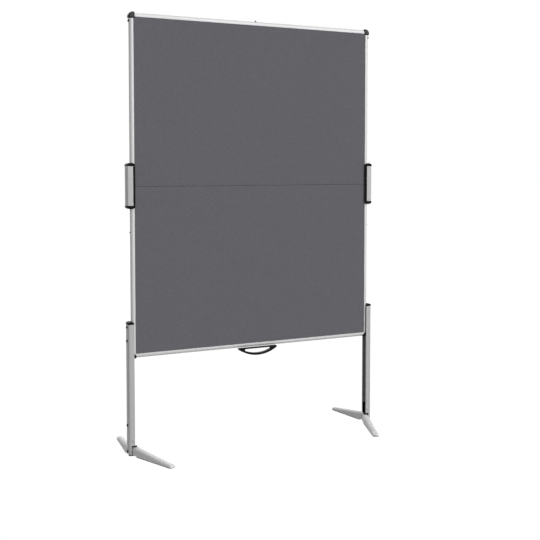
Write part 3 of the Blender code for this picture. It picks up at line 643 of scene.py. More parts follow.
class ExtrusionTree(Tree):
    """Extrudes a flat section, holes and all, into a closed bar."""

    def __init__(self) -> None:
        """Builds the tree."""
        super().__init__("extruded_section")
        self.add_input("Length", "NodeSocketFloat")
        self.add_input("Finish", "NodeSocketMaterial")
        whole = {"Individual": False, "Offset Scale": 1.0}
        extrude = self.node("GeometryNodeExtrudeMesh", whole, mode="FACES")
        offset = self.node("ShaderNodeCombineXYZ")
        self.link(self.start.outputs["Length"], offset.inputs["Z"])
        self.link(self.start.outputs["Geometry"], extrude.inputs["Mesh"])
        self.link(offset.outputs["Vector"], extrude.inputs["Offset"])
        flip = self.node("GeometryNodeFlipFaces")
        self.link(self.start.outputs["Geometry"], flip.inputs["Mesh"])
        join = self.node("GeometryNodeJoinGeometry")
        self.link(extrude.outputs["Mesh"], join.inputs["Geometry"])
        self.link(flip.outputs["Mesh"], join.inputs["Geometry"])
        merge = self.node("GeometryNodeMergeByDistance", {"Distance": FINE_MERGE})
        self.link(join.outputs["Geometry"], merge.inputs["Geometry"])
        self.finish(merge.outputs["Geometry"])

    def extrude(
        self,
        name: str,
        outlines: Sequence[Outline],
        low: float,
        high: float,
        axis: Axis,
        finish: Material,
    ) -> Mesh:
        """Makes one bar.

        Args:
            name: the mesh's name.
            outlines: the section's outline and its holes.
            low: where the bar starts along the axis.
            high: where it ends.
            axis: the way it runs.
            finish: its material.

        Returns:
            The closed mesh in its place.
        """
        flat = section(f"{name}_section", outlines)
        mesh = self.bake(name, flat, {"Length": high - low, "Finish": finish})
        mesh.transform(Matrix.Translation(axis.along * low) @ axis.turn)
        return cleaned(mesh)


class FastenerTree(Tree):
    """Sets one fastener on every point of a mesh, facing the way that the point's attribute says."""

    sharp_angle: float = 28.0

    def __init__(self) -> None:
        """Builds the tree."""
        super().__init__("fasteners_on_points")
        self.add_input("Fastener", "NodeSocketObject")
        self.add_input("Seed", "NodeSocketInt")
        self.add_input("Finish", "NodeSocketMaterial")
        info = self.node("GeometryNodeObjectInfo")
        self.link(self.start.outputs["Fastener"], info.inputs["Object"])
        facing = self.node("GeometryNodeInputNamedAttribute", {"Name": "facing"}, data_type="FLOAT_VECTOR")
        turn = self.node("FunctionNodeAlignRotationToVector", axis="Z")
        self.link(facing.outputs["Attribute"], turn.inputs["Vector"])
        spin = self.node("FunctionNodeRandomValue", {"Max": math.pi}, data_type="FLOAT")
        self.link(self.start.outputs["Seed"], spin.inputs["Seed"])
        angle = self.node("FunctionNodeAxisAngleToRotation", {"Axis": Axis.Z.along})
        self.link(spin.outputs["Value"], angle.inputs["Angle"])
        both = self.node("FunctionNodeRotateRotation", rotation_space="LOCAL")
        self.link(turn.outputs["Rotation"], both.inputs["Rotation"])
        self.link(angle.outputs["Rotation"], both.inputs["Rotate By"])
        place = self.node("GeometryNodeInstanceOnPoints")
        self.link(self.start.outputs["Geometry"], place.inputs["Points"])
        self.link(info.outputs["Geometry"], place.inputs["Instance"])
        self.link(both.outputs["Rotation"], place.inputs["Rotation"])
        self.finish(place.outputs["Instances"])

    def scatter(
        self,
        name: str,
        fastener: bpy.types.Object,
        seats: Sequence[Seat],
        finish: Material,
        seed: int,
    ) -> Mesh:
        """Makes all the fasteners of one kind on one body.

        Args:
            name: the mesh's name.
            fastener: the object to repeat, standing on the origin and facing +Z.
            seats: where each one sits and the way it faces.
            finish: their material.
            seed: the seed of their turn about their own axis.

        Returns:
            A plain mesh.
        """
        points = bpy.data.meshes.new(f"{name}_seats")
        points.from_pydata([tuple(seat) for seat, _ in seats], [], [])
        attribute = points.attributes.new("facing", "FLOAT_VECTOR", "POINT")
        for index, (_, facing) in enumerate(seats):
            attribute.data[index].vector = facing
        mesh = self.bake(name, points, {"Fastener": fastener, "Seed": seed, "Finish": finish})
        return cleaned(mesh, self.sharp_angle)


class Shader(NodeTree):
    """A material's or a shader node group's tree."""

    def math(self, operation: str, first: Socket | float, second: Socket | float) -> Socket:
        """Adds a Math node.

        Args:
            operation: what it does.
            first: its first number, or where that comes from.
            second: its second one.

        Returns:
            Its result.
        """
        made = self.node("ShaderNodeMath", operation=operation)
        for socket, value in zip(made.inputs, (first, second)):
            if isinstance(value, float):
                socket.default_value = value
            else:
                self.link(value, socket)
        return made.outputs[0]

    def noise(
        self, scale: float, detail: float, stretch: Sequence[float] = (1, 1, 1), place: Socket | None = None
    ) -> Socket:
        """Adds noise on the object's coordinates.

        Args:
            scale: the scale of the noise.
            detail: its detail.
            stretch: what the coordinates are multiplied by first.
            place: the coordinates, if there is a node for them.

        Returns:
            Its value.
        """
        place = place or self.node("ShaderNodeTexCoord").outputs["Object"]
        mapping = self.node("ShaderNodeMapping", {"Scale": stretch})
        made = self.node("ShaderNodeTexNoise", {"Scale": scale, "Detail": detail})
        self.link(place, mapping.inputs["Vector"])
        self.link(mapping.outputs["Vector"], made.inputs["Vector"])
        return made.outputs["Fac"]

    def spread(self, value: Socket, middle: float, swing: float) -> Socket:
        """Maps the range that most of a noise's values are in, without clamping.

        Args:
            value: the noise.
            middle: what its mean becomes.
            swing: how far the ends of the range are from that.

        Returns:
            The mapped value.
        """
        ends = {"From Min": 0.3, "From Max": 0.7, "To Min": middle - swing, "To Max": middle + swing}
        made = self.node("ShaderNodeMapRange", ends, clamp=False)
        self.link(value, made.inputs["Value"])
        return made.outputs["Result"]


class ShaderGroup(Shader):
    """A shader node group with named inputs and outputs."""

    def __init__(self, name: str, inputs: dict[str, object], outputs: Sequence[str]) -> None:
        """Starts the group with its object coordinates.

        Args:
            name: the group's name.
            inputs: each input's first value, which is a number or a colour.
            outputs: the outputs' names; the one named Colour is a colour.
        """
        self.group = bpy.data.node_groups.new(name, "ShaderNodeTree")
        super().__init__(self.group.nodes, self.group.links)
        for key, value in inputs.items():
            kind = "NodeSocketFloat" if isinstance(value, float) else "NodeSocketColor"
            socket = self.group.interface.new_socket(key, in_out="INPUT", socket_type=kind)
            socket.default_value = value
        for key in outputs:
            kind = "NodeSocketColor" if key == "Colour" else "NodeSocketFloat"
            self.group.interface.new_socket(key, in_out="OUTPUT", socket_type=kind)
        self.start = self.node("NodeGroupInput")
        self.end = self.node("NodeGroupOutput")
        self.place = self.node("ShaderNodeTexCoord").outputs["Object"]

    def texture(self, detail: float | None = None) -> Socket:
        """Adds noise whose scale is an input of the group.

        Args:
            detail: its detail, unless that is an input too.

        Returns:
            The noise's value.
        """
        made = self.node("ShaderNodeTexNoise")
        self.link(self.place, made.inputs["Vector"])
        self.link(self.start.outputs["Scale"], made.inputs["Scale"])
        if detail is None:
            self.link(self.start.outputs["Detail"], made.inputs["Detail"])
        else:
            made.inputs["Detail"].default_value = detail
        return made.outputs["Fac"]


def tint_group() -> bpy.types.ShaderNodeTree:
    """Clouds a colour: broad, soft changes of lightness over a surface.

    Returns:
        The group.
    """
    shader = ShaderGroup(
        "clouded_colour",
        {"Colour": (0.5, 0.5, 0.5, 1.0), "Scale": 8.0, "Amount": 0.06},
        ("Colour", "Mask"),
    )
    clouds = shader.texture(detail=4.0)
    centred = shader.math("SUBTRACT", clouds, 0.5)
    doubled = shader.math("MULTIPLY", centred, 2.0)
    swing = shader.math("MULTIPLY", doubled, shader.start.outputs["Amount"])
    hue = shader.node("ShaderNodeHueSaturation")
    shader.link(shader.start.outputs["Colour"], hue.inputs["Color"])
    shader.link(shader.math("ADD", swing, 1.0), hue.inputs["Value"])
    shader.link(hue.outputs["Color"], shader.end.inputs["Colour"])
    shader.link(clouds, shader.end.inputs["Mask"])
    return shader.group


def edge_group() -> bpy.types.ShaderNodeTree:
    """Masks worn edges: where the surface turns sharply outwards, broken up by noise.

    Returns:
        The group.
    """
    flat_pointiness = 0.52
    shader = ShaderGroup("edge_wear", {"Sharpness": 6.0, "Scale": 90.0}, ("Mask",))
    chips = shader.texture(detail=3.0)
    turning = shader.node("ShaderNodeNewGeometry").outputs["Pointiness"]
    raised = shader.math("SUBTRACT", turning, flat_pointiness)
    sharp = shader.math("MULTIPLY", raised, shader.start.outputs["Sharpness"])
    limit = shader.node("ShaderNodeClamp")
    shader.link(shader.math("MULTIPLY", sharp, chips), limit.inputs["Value"])
    shader.link(limit.outputs["Result"], shader.end.inputs["Mask"])
    return shader.group


def grain_group() -> bpy.types.ShaderNodeTree:
    """The height of a moulded or cast grain.

    Returns:
        The group.
    """
    shader = ShaderGroup("surface_grain", {"Scale": 900.0, "Detail": 3.0}, ("Height",))
    shader.link(shader.texture(), shader.end.inputs["Height"])
    return shader.group


# Finishes

@dataclass(frozen=True)
class Groups:
    """The shader node groups that several finishes share."""

    tint: bpy.types.ShaderNodeTree
    edges: bpy.types.ShaderNodeTree
    grain: bpy.types.ShaderNodeTree


class Surface(Shader):
    """A material's tree, with the shared groups at hand."""

    def __init__(self, finish: Finish, groups: Groups) -> None:
        """Starts a plain material.

        Args:
            finish: the name, colour and roughness.
            groups: the shared groups.
        """
        self.material = bpy.data.materials.new(finish.name)
        self.material.use_nodes = True
        self.material.diffuse_color = (*finish.colour, 1.0)
        super().__init__(self.material.node_tree.nodes, self.material.node_tree.links)
        self.finish = finish
        self.groups = groups
        self.inputs = self.nodes["Principled BSDF"].inputs
        self.inputs["Roughness"].default_value = finish.roughness

    def set(self, **values: float) -> None:
        """Sets inputs of the Principled node, whose names have _ for each space."""
        for key, value in values.items():
            self.inputs[key.replace("_", " ")].default_value = value

    def use(self, group: bpy.types.ShaderNodeTree, values: dict[str, object]) -> Node:
        """Places a shared group.

        Args:
            group: the group.
            values: what its inputs are set to.

        Returns:
            Its node.
        """
        made = self.node("ShaderNodeGroup", node_tree=group)
        for key, value in values.items():
            made.inputs[key].default_value = value
        return made

    def clouds(self, scale: float, amount: float) -> Node:
        """Clouds the finish's colour.

        Args:
            scale: the scale of the clouds.
            amount: how much lighter and darker they are.

        Returns:
            The node, whose outputs are Colour and Mask.
        """
        values = {"Scale": scale, "Amount": amount, "Colour": (*self.finish.colour, 1.0)}
        return self.use(self.groups.tint, values)

    def streaks(self, colour: Socket, noise: Socket, swing: float) -> None:
        """Makes the base colour of a colour whose lightness follows a noise.

        Args:
            colour: the colour.
            noise: the noise.
            swing: how much lighter and darker it gets.
        """
        made = self.node("ShaderNodeHueSaturation")
        self.link(colour, made.inputs["Color"])
        self.link(self.spread(noise, 1.0, swing), made.inputs["Value"])
        self.link(made.outputs["Color"], self.inputs["Base Color"])

    def roughen(self, noise: Socket, swing: float) -> None:
        """Lets the roughness follow a noise, by swing to either side."""
        self.link(self.spread(noise, self.finish.roughness, swing), self.inputs["Roughness"])

    def bump(self, height: Socket, strength: float, depth: float) -> None:
        """Gives the surface a bump.

        Args:
            height: the height, from 0 to 1.
            strength: the strength of the bump.
            depth: how deep it is.
        """
        made = self.node("ShaderNodeBump", {"Strength": strength, "Distance": depth})
        self.link(height, made.inputs["Height"])
        self.link(made.outputs["Normal"], self.inputs["Normal"])

    def grain(self, scale: float, detail: float, strength: float, depth: float) -> None:
        """Gives the surface the shared grain.

        Args:
            scale: the scale of the grain.
            detail: its detail.
            strength: the strength of the bump.
            depth: how deep it is.
        """
        height = self.use(self.groups.grain, {"Scale": scale, "Detail": detail}).outputs["Height"]
        self.bump(height, strength, depth)


@dataclass(frozen=True)
class Finish:
    """What every finish has: a name, a base colour and a roughness."""

    name: str
    colour: tuple[float, float, float]
    roughness: float

    def build(self, groups: Groups) -> Material:
        """Makes the material.

        Args:
            groups: the shared groups.

        Returns:
            The material.
        """
        surface = Surface(self, groups)
        self.paint(surface)
        return surface.material

    def paint(self, surface: Surface) -> None:
        """Gives a plain material the finish's looks."""
        raise NotImplementedError(self.name)


@dataclass(frozen=True)
class Extruded(Finish):
    """Satin anodised aluminium with fine die lines along its length."""

    along: Axis
    metallic: float = 0.22

    def paint(self, surface: Surface) -> None:
        """Gives a plain material the finish's looks.

        Args:
            surface: the material.
        """
        surface.set(Metallic=self.metallic)
        stretch = [0.004 if letter == self.along.value else 1.0 for letter in "XYZ"]
        lines = surface.noise(scale=1400.0, detail=2.0, stretch=stretch)
        clouds = surface.clouds(scale=3.0, amount=0.05)
        surface.streaks(clouds.outputs["Colour"], lines, swing=0.025)
        surface.roughen(lines, swing=0.03)
        surface.bump(lines, strength=0.12, depth=0.00004)


@dataclass(frozen=True)
class Cast(Finish):
    """A casting with a fine silver powder coat."""

    metallic: float = 0.25
    grain: float = 1600.0
    gloss: float = 0.3

    def paint(self, surface: Surface) -> None:
        """Gives a plain material the finish's looks.

        Args:
            surface: the material.
        """
        surface.set(Metallic=self.metallic, Specular_IOR_Level=self.gloss)
        clouds = surface.clouds(scale=14.0, amount=0.05)
        flakes = surface.noise(scale=2600.0, detail=1.0)
        surface.streaks(clouds.outputs["Colour"], flakes, swing=0.04)
        surface.roughen(clouds.outputs["Mask"], swing=0.05)
        surface.grain(scale=self.grain, detail=2.0, strength=0.25, depth=0.0001)


@dataclass(frozen=True)
class Moulded(Finish):
    """Moulded plastic or rubber with a fine grain and slightly polished edges."""

    worn: tuple[float, float, float]
    grain: float = 1100.0
    depth: float = 0.00012
    gloss: float = 0.05

    def paint(self, surface: Surface) -> None:
        """Gives a plain material the finish's looks.

        Args:
            surface: the material.
        """
        surface.set(Specular_IOR_Level=self.gloss)
        clouds = surface.clouds(scale=25.0, amount=0.12)
        edges = surface.use(surface.groups.edges, {"Sharpness": 9.0, "Scale": 160.0})
        mix = surface.node("ShaderNodeMix", {"B": (*self.worn, 1.0)}, data_type="RGBA")
        surface.link(edges.outputs["Mask"], mix.inputs["Factor"])
        surface.link(clouds.outputs["Colour"], mix.inputs["A"])
        surface.link(mix.outputs["Result"], surface.inputs["Base Color"])
        surface.roughen(clouds.outputs["Mask"], swing=0.06)
        surface.grain(scale=self.grain, detail=3.0, strength=0.35, depth=self.depth)


@dataclass(frozen=True)
class NeedleFelt(Finish):
    """Dense needle felt: mottled fibres of a lighter and a darker grey."""

    light: tuple[float, float, float]
    dark: tuple[float, float, float]

    def paint(self, surface: Surface) -> None:
        """Gives a plain material the finish's looks.

        Args:
            surface: the material.
        """
        surface.set(Sheen_Weight=0.12, Sheen_Roughness=0.5, Specular_IOR_Level=0.15)
        place = surface.node("ShaderNodeTexCoord").outputs["Object"]
        clumps = surface.noise(scale=260.0, detail=3.0, place=place)
        across = surface.noise(scale=900.0, detail=2.0, stretch=(0.25, 1.0, 1.0), place=place)
        upward = surface.noise(scale=900.0, detail=2.0, stretch=(1.0, 1.0, 0.25), place=place)
        fibres = surface.math("MAXIMUM", across, upward)
        mottle = surface.math("MULTIPLY", surface.math("ADD", clumps, fibres), 0.5)
        ramp = surface.node("ShaderNodeMapRange", {"From Min": 0.40, "From Max": 0.68})
        surface.link(mottle, ramp.inputs["Value"])
        greys = {"A": (*self.dark, 1.0), "B": (*self.light, 1.0)}
        fleck = surface.node("ShaderNodeMix", greys, data_type="RGBA")
        surface.link(ramp.outputs["Result"], fleck.inputs["Factor"])
        blend = surface.node("ShaderNodeMix", {"Factor": 0.6}, data_type="RGBA")
        clouds = surface.clouds(scale=5.0, amount=0.05)
        surface.link(clouds.outputs["Colour"], blend.inputs["A"])
        surface.link(fleck.outputs["Result"], blend.inputs["B"])
        surface.link(blend.outputs["Result"], surface.inputs["Base Color"])
        surface.bump(mottle, strength=0.6, depth=0.0008)


@dataclass(frozen=True)
class Plated(Finish):
    """Zinc plated or black oxide steel."""

    metallic: float = 1.0
    gloss: float = 0.5

    def paint(self, surface: Surface) -> None:
        """Gives a plain material the finish's looks.

        Args:
            surface: the material.
        """
        surface.set(Metallic=self.metallic, Specular_IOR_Level=self.gloss)
        clouds = surface.clouds(scale=60.0, amount=0.10)
        surface.link(clouds.outputs["Colour"], surface.inputs["Base Color"])
        surface.roughen(clouds.outputs["Mask"], swing=0.08)
        surface.grain(scale=2200.0, detail=2.0, strength=0.1, depth=0.00005)


@dataclass(frozen=True)
class Pressed(Finish):
    """Pressed fibre board, seen only at its cut edge."""

    def paint(self, surface: Surface) -> None:
        """Gives a plain material the finish's looks.

        Args:
            surface: the material.
        """
        clouds = surface.clouds(scale=40.0, amount=0.25)
        surface.link(clouds.outputs["Colour"], surface.inputs["Base Color"])
        fibres = surface.noise(scale=500.0, detail=4.0, stretch=(0.2, 1.0, 1.0))
        surface.bump(fibres, strength=0.6, depth=0.0005)


class Finishes:
    """Every material of the pinboard."""

    def __init__(self) -> None:
        """Builds the shared groups and the materials."""
        groups = Groups(tint_group(), edge_group(), grain_group())
        self.upright = Extruded("anodised_upright", (0.60, 0.60, 0.605), 0.45, Axis.Z, 0.12).build(groups)
        # Painted shade: the rails are the stiles' aluminium with a darker base colour, which holds back the
        # light and highlight on them.
        self.level = Extruded("anodised_rail", (0.55, 0.55, 0.555), 0.50, Axis.X).build(groups)
        self.leg = Extruded("anodised_leg", (0.37, 0.37, 0.373), 0.45, Axis.Z).build(groups)
        self.sleeve = Extruded("anodised_sleeve", (0.375, 0.375, 0.378), 0.45, Axis.Z).build(groups)
        self.casting = Cast("silver_casting", (0.65, 0.65, 0.65), 0.72).build(groups)
        self.black = Moulded("black_plastic", (0.004, 0.004, 0.0043), 0.40, (0.009,) * 3).build(groups)
        grained = Moulded("grey_plastic", (0.006,) * 3, 0.30, (0.010,) * 3, 900.0, 0.00008, 0.18)
        self.grey = grained.build(groups)
        self.rubber = Moulded("black_rubber", (0.016,) * 3, 0.8, (0.03,) * 3, 500.0).build(groups)
        light, dark = (0.16, 0.157, 0.172), (0.092, 0.09, 0.102)
        self.felt = NeedleFelt("grey_felt", (0.125, 0.122, 0.137), 0.95, light, dark).build(groups)
        self.zinc = Plated("zinc_steel", (0.52, 0.52, 0.52), 0.35, 0.7).build(groups)
        # Painted shade: the bracket bolt head is a darker copy of the zinc steel, which holds back its
        # highlight.
        self.bolt = Plated("satin_steel", (0.36, 0.36, 0.36), 0.5, 0.3).build(groups)
        self.oxide = Plated("black_steel", (0.006, 0.006, 0.006), 0.4, 0.0, 0.1).build(groups)
        # Painted shade: the core's cut edge is darkened to near black so that the seam gap between the panels
        # looks shadowed.
        self.core = Pressed("core_board", (0.030, 0.029, 0.028), 0.9).build(groups)


# What every sub-assembly shares

@dataclass
class Kit:
    """The finishes and trees that the sub-assemblies are made with."""

    finishes: Finishes
    extrusion: ExtrusionTree
    fasteners: FastenerTree

    def piece(
        self,
        mesh: Mesh,
        finish: Material,
        slot: Slot,
        body: str,
        nodes: Sequence[str] = (),
    ) -> bpy.types.Object:
        """Puts a finished mesh in the scene.

        Args:
            mesh: the piece in its place.
            finish: its material.
            slot: the record's material slot, which is not used.
            body: the body that it moves with.
            nodes: the solids that it stands for.

        Returns:
            The piece.
        """
        made = linked(mesh.name, mesh)
        mesh.materials.clear()
        mesh.materials.append(finish)
        if nodes:
            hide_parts(*nodes)
        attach(made, body)
        LOG.info("%s: %d faces on %s", made.name, len(mesh.polygons), body)
        return made

    def repaint(self, node: str, finish: Material) -> None:
        """Gives a solid that stays a better material.

        Args:
            node: the solid.
            finish: its material.
        """
        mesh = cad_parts[node].data
        mesh.materials.clear()
        mesh.materials.append(finish)
        LOG.info("%s: kept, in %s", node, finish.name)

    def helper(self, mesh: Mesh) -> bpy.types.Object:
        """An object of the mesh that trees can repeat, kept outside the scene."""
        return bpy.data.objects.new(mesh.name, mesh)


@dataclass
class Screws:
    """The fastener heads, each drawn standing on the origin and facing +Z.

    The shares are of the head's own radius and height.
    """

    radius: float = 0.0032
    height: float = 0.0014
    side_scale: tuple[float, float, float] = (1.85, 1.85, 3.0)
    bolt_radius: float = 0.0065
    bolt_height: float = 0.0018
    crown_share: float = 0.35
    rim_share: float = 0.25
    arm_share: float = 0.55
    arm_half_share: float = 0.13
    cross_floor_share: float = 0.3
    socket_share: float = 0.42
    socket_floor_share: float = 0.35

    def domed(self, name: str, radius: float, height: float) -> Mesh:
        """A low dome.

        Args:
            name: the mesh's name.
            radius: its radius at the foot.
            height: its height.

        Returns:
            The closed mesh.
        """
        steps = 5
        profile = [(radius, 0.0)]
        crown, rim_height = self.crown_share, self.rim_share
        for step in range(steps):
            turn = math.pi / 2 * step / steps
            across = crown + (1 - crown) * math.cos(turn)
            rise = rim_height + (1 - rim_height) * math.sin(turn)
            profile.append((radius * across, height * rise))
        return lathe(name, profile, (0, 0, 0), Axis.Z.along)

    def cross_head(self) -> Mesh:
        """A domed head with a cross recess.

        Returns:
            The closed mesh.
        """
        head = self.domed("cross_head_screw", self.radius, self.height)
        arm, half = self.radius * self.arm_share, self.radius * self.arm_half_share
        floor, top = self.height * self.cross_floor_share, self.height * 2
        first = block("cross_arm_x", (-arm, -half, floor), (arm, half, top))
        second = block("cross_arm_y", (-half, -arm, floor), (half, arm, top))
        return carved(head, [first, second])

    def socket_head(self) -> Mesh:
        """A button head with a hexagonal recess.

        Returns:
            The closed mesh.
        """
        head = self.domed("socket_head_bolt", self.bolt_radius, self.bolt_height)
        floor, top = self.bolt_height * self.socket_floor_share, self.bolt_height * 2
        recess = rod("socket", (0, 0, floor), (0, 0, top), self.bolt_radius * self.socket_share, sides=6)
        return carved(head, [recess])


@dataclass
class FrameSection:
    """The section of the panels' aluminium frame, across its face and front to back."""

    face: float = 0.0185
    depth: float = 0.022
    wall: float = 0.0015
    roll_x: float = 0.0115
    roll_y: float = 0.0105
    roll_power: float = 1.65
    edge: float = 0.0004
    chamber: float = 0.0094
    groove: float = 0.006
    core: float = 0.016
    slack: float = 0.0003
    line_width: float = 0.0004
    line_depth: float = 0.0002
    line_places: tuple[float, ...] = (0.0022, 0.0045)

    def outlines(self) -> tuple[list[Vector], list[Vector]]:
        """The section's outlines, with X from the board outwards and Y from front to back.

        Returns:
            The outer outline and the chamber inside it.
        """
        half, slot = self.depth / 2, self.core / 2 + self.slack
        front = grooved((0.0, -half), (self.face, -half), self.line_places, self.line_width, self.line_depth)
        steps = 12
        for step in range(steps + 1):
            turn = math.pi / 2 * step / steps
            across, deep = (value ** (2 / self.roll_power) for value in (math.sin(turn), abs(math.cos(turn))))
            front.append((self.face - self.roll_x * (1 - across), self.roll_y * (1 - deep) - half, 0.0))
        back = [(x, -y, radius) for x, y, radius in reversed(front)]
        outer = rounded([
            (0.0, -half, self.edge),
            *front,
            *back,
            (0.0, half, self.edge),
            (0.0, slot, 0.0),
            (self.groove, slot, 0.0),
            (self.groove, -slot, 0.0),
            (0.0, -slot, 0.0),
        ])
        near, far = self.groove + self.wall, self.face - self.wall
        inner = rounded([
            (near, self.wall - half, 0.0),
            (far, self.wall - half, self.chamber),
            (far, half - self.wall, self.chamber),
            (near, half - self.wall, 0.0),
        ])
        return outer, inner


@dataclass
class Panel:
    """One half of the board: felts, core edge, frame and corner blocks."""

    kit: Kit
    half: Half
    corner_finish: Material
    corner_slot: Slot
    felt_x: float = 0.600
    frame: FrameSection = field(default_factory=FrameSection)
    corner_size: float = 0.0285
    corner_proud: float = 0.0035
    corner_round: float = 0.020
    corner_edge: float = 0.0035
    corner_dome: float = 0.009
    slot_half: float = 0.0098
    slant_start: float = 0.005
    slant_end: float = 0.0095
    slant_gap: float = 0.0005
    low_round: float = 0.010
    low_toe: float = 0.006
    low_edge: float = 0.002
    inner_round: float = 0.0015
    side_round: float = 0.004
    slot_reach: float = 0.01

    @property
    def name(self) -> str:
        """The first word of the names of its solids."""
        return self.half.value

    @property
    def body(self) -> str:
        """The body that it moves with."""
        return f"{self.name}_panel"

    @property
    def rail(self) -> str:
        """The solid that is its rail."""
        return "bottom_rail" if self.half is Half.LOWER else "top_rail"

    def build(self) -> None:
        """Makes and dresses the whole half."""
        self.build_felts()
        self.build_frame()
        for side in Side:
            self.build_corner(side)
        self.kit.repaint(f"{self.name}_core", self.kit.finishes.core)

    def build_felts(self) -> None:
        """The two felt facings, with soft edges that turn down to the core."""
        for face in Face:
            node = f"{self.name}_{face.value}_felt"
            low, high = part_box(node)
            mesh = felt_sheet(f"{node}_cloth", low, high, face)
            cloth = self.kit.piece(mesh, self.kit.finishes.felt, Slot.FELT, self.body, [node])

    def build_frame(self) -> None:
        """The rail and the two stiles, extruded from one section."""
        outlines = self.frame.outlines()
        extrude = self.kit.extrusion.extrude
        for side in Side:
            node = f"{self.name}_stile_{side.value}"
            low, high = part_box(node)
            placed = [mirrored([(self.felt_x + p.x, p.y) for p in points], side) for points in outlines]
            mesh = extrude(f"{node}_extrusion", placed, low.z, high.z, Axis.Z, self.kit.finishes.upright)
            self.kit.piece(mesh, self.kit.finishes.upright, Slot.ALUMINIUM, self.body, [node])
        low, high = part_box(self.rail)
        inner = high.z if self.half is Half.LOWER else low.z
        placed = [[Vector((p.y, inner + self.half.sign * p.x)) for p in points] for points in outlines]
        mesh = extrude(f"{self.rail}_extrusion", placed, low.x, high.x, Axis.X, self.kit.finishes.level)
        if self.half is Half.LOWER:
            for vertex in mesh.vertices:
                vertex.co.x = math.copysign(self.slant_x(vertex.co.z) - self.slant_gap, vertex.co.x)
        self.kit.piece(mesh, self.kit.finishes.level, Slot.ALUMINIUM, self.body, [self.rail])

    def slant_x(self, height: float) -> float:
        """X of the slanted joint between the bottom rail and its corner block.

        Args:
            height: Z of the place on the joint.

        Returns:
            X there, on the right-hand side.
        """
        _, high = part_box("bottom_rail")
        slope = (self.slant_start + self.slant_end) / self.frame.face
        return self.felt_x + self.slant_start - slope * (high.z - height)

    def build_corner(self, side: Side) -> None:
        """A moulded corner block: a domed face over the joint of the stile and the rail.

        Args:
            side: the side that it is on.
        """
        node = f"{self.name}_corner_{side.value}"
        low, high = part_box(node)
        outer_x, deep = max(abs(low.x), abs(high.x)), (high.y - low.y) / 2
        slot_x, groove = self.felt_x + self.frame.groove, self.frame.groove
        if self.half is Half.LOWER:
            _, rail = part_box(self.rail)
            corners = [
                (self.slant_x(rail.z), rail.z, self.inner_round),
                (outer_x, rail.z, self.low_edge),
                (outer_x, low.z, self.low_round),
                (self.slant_x(low.z), low.z, self.low_toe),
            ]
            edge = dome = self.low_edge
            slot_low = (self.felt_x - self.slot_reach, -self.slot_half, rail.z - groove)
            slot_high = (slot_x, self.slot_half, rail.z + SPARE)
        else:
            inner_x, inner_z = outer_x - self.corner_size, high.z - self.corner_size
            corners = [
                (inner_x, inner_z, self.inner_round),
                (outer_x, inner_z, self.side_round),
                (outer_x, high.z, self.corner_round),
                (inner_x, high.z, self.side_round),
            ]
            edge, dome = self.corner_edge, self.corner_dome
            slot_low = (inner_x - SPARE, -self.slot_half, inner_z - SPARE)
            slot_high = (slot_x, self.slot_half, high.z - self.corner_proud - self.frame.face + groove)
        outline = mirrored(rounded(corners, steps=14), side)
        mesh = cushion_prism(node + "_block", outline, deep, edge, dome)
        mesh = carved(mesh, [block("board_slot", slot_low, slot_high, side)])
        self.kit.piece(mesh, self.corner_finish, self.corner_slot, self.body, [node])


def felt_spots(count: int) -> np.ndarray:
    """Where the lines of a felt's grid are between 0 and 1, a little closer towards the edges.

    Args:
        count: how many stretches there are.

    Returns:
        The places, both ends included.
    """
    share = 0.35
    even = np.linspace(0.0, 1.0, count + 1)
    eased = 0.5 - 0.5 * np.cos(np.pi * even)
    return share * eased + (1 - share) * even


def rim(grid: list[list[bmesh.types.BMVert]]) -> list[bmesh.types.BMVert]:
    """The vertices round the edge of a grid, in order."""
    first, last = [row[0] for row in grid], [row[-1] for row in grid]
    return grid[0] + last[1:] + grid[-1][-2::-1] + first[-2:0:-1]


def felt_sheet(name: str, low: Vector, high: Vector, face: Face) -> Mesh:
    """A facing of felt with rounded, slightly uneven edges.

    Args:
        name: the mesh's name.
        low: the lowest corner of the space it fills.
        high: the highest corner.
        face: the face of the board that it covers.

    Returns:
        A closed mesh with a fine grid on its face.
    """
    columns, rows, seed = 120, 76, 11
    edge_width, edge_drop, unevenness = 0.0012, 0.35, 0.00012
    width, length, depth = high.x - low.x, high.z - low.z, high.y - low.y
    rng = np.random.default_rng(seed)
    face_y, back_y = (low.y, high.y) if face is Face.FRONT else (high.y, low.y)
    xs, zs = felt_spots(columns), felt_spots(rows)
    uneven = rng.uniform(0.0, unevenness, (rows + 1, columns + 1))
    work = bmesh.new()
    front, rear = [], []
    for row in range(rows + 1):
        front.append([])
        rear.append([])
        for column in range(columns + 1):
            x, z = low.x + width * xs[column], low.z + length * zs[row]
            edge = min(x - low.x, high.x - x, z - low.z, high.z - z)
            drop = depth * edge_drop * max(0.0, 1.0 - edge / edge_width) + float(uneven[row, column])
            front[row].append(work.verts.new((x, face_y - face.sign * drop, z)))
            rear[row].append(work.verts.new((x, back_y, z)))
    for grid in (front, rear):
        for near, far in zip(grid, grid[1:]):
            for column in range(columns):
                work.faces.new((near[column], near[column + 1], far[column + 1], far[column]))
    rim_front, rim_rear = rim(front), rim(rear)
    for index in range(len(rim_front)):
        after = (index + 1) % len(rim_front)
        work.faces.new((rim_front[index], rim_front[after], rim_rear[after], rim_rear[index]))
    return cleaned(mesh_of(work, name), sharp_angle=60.0)


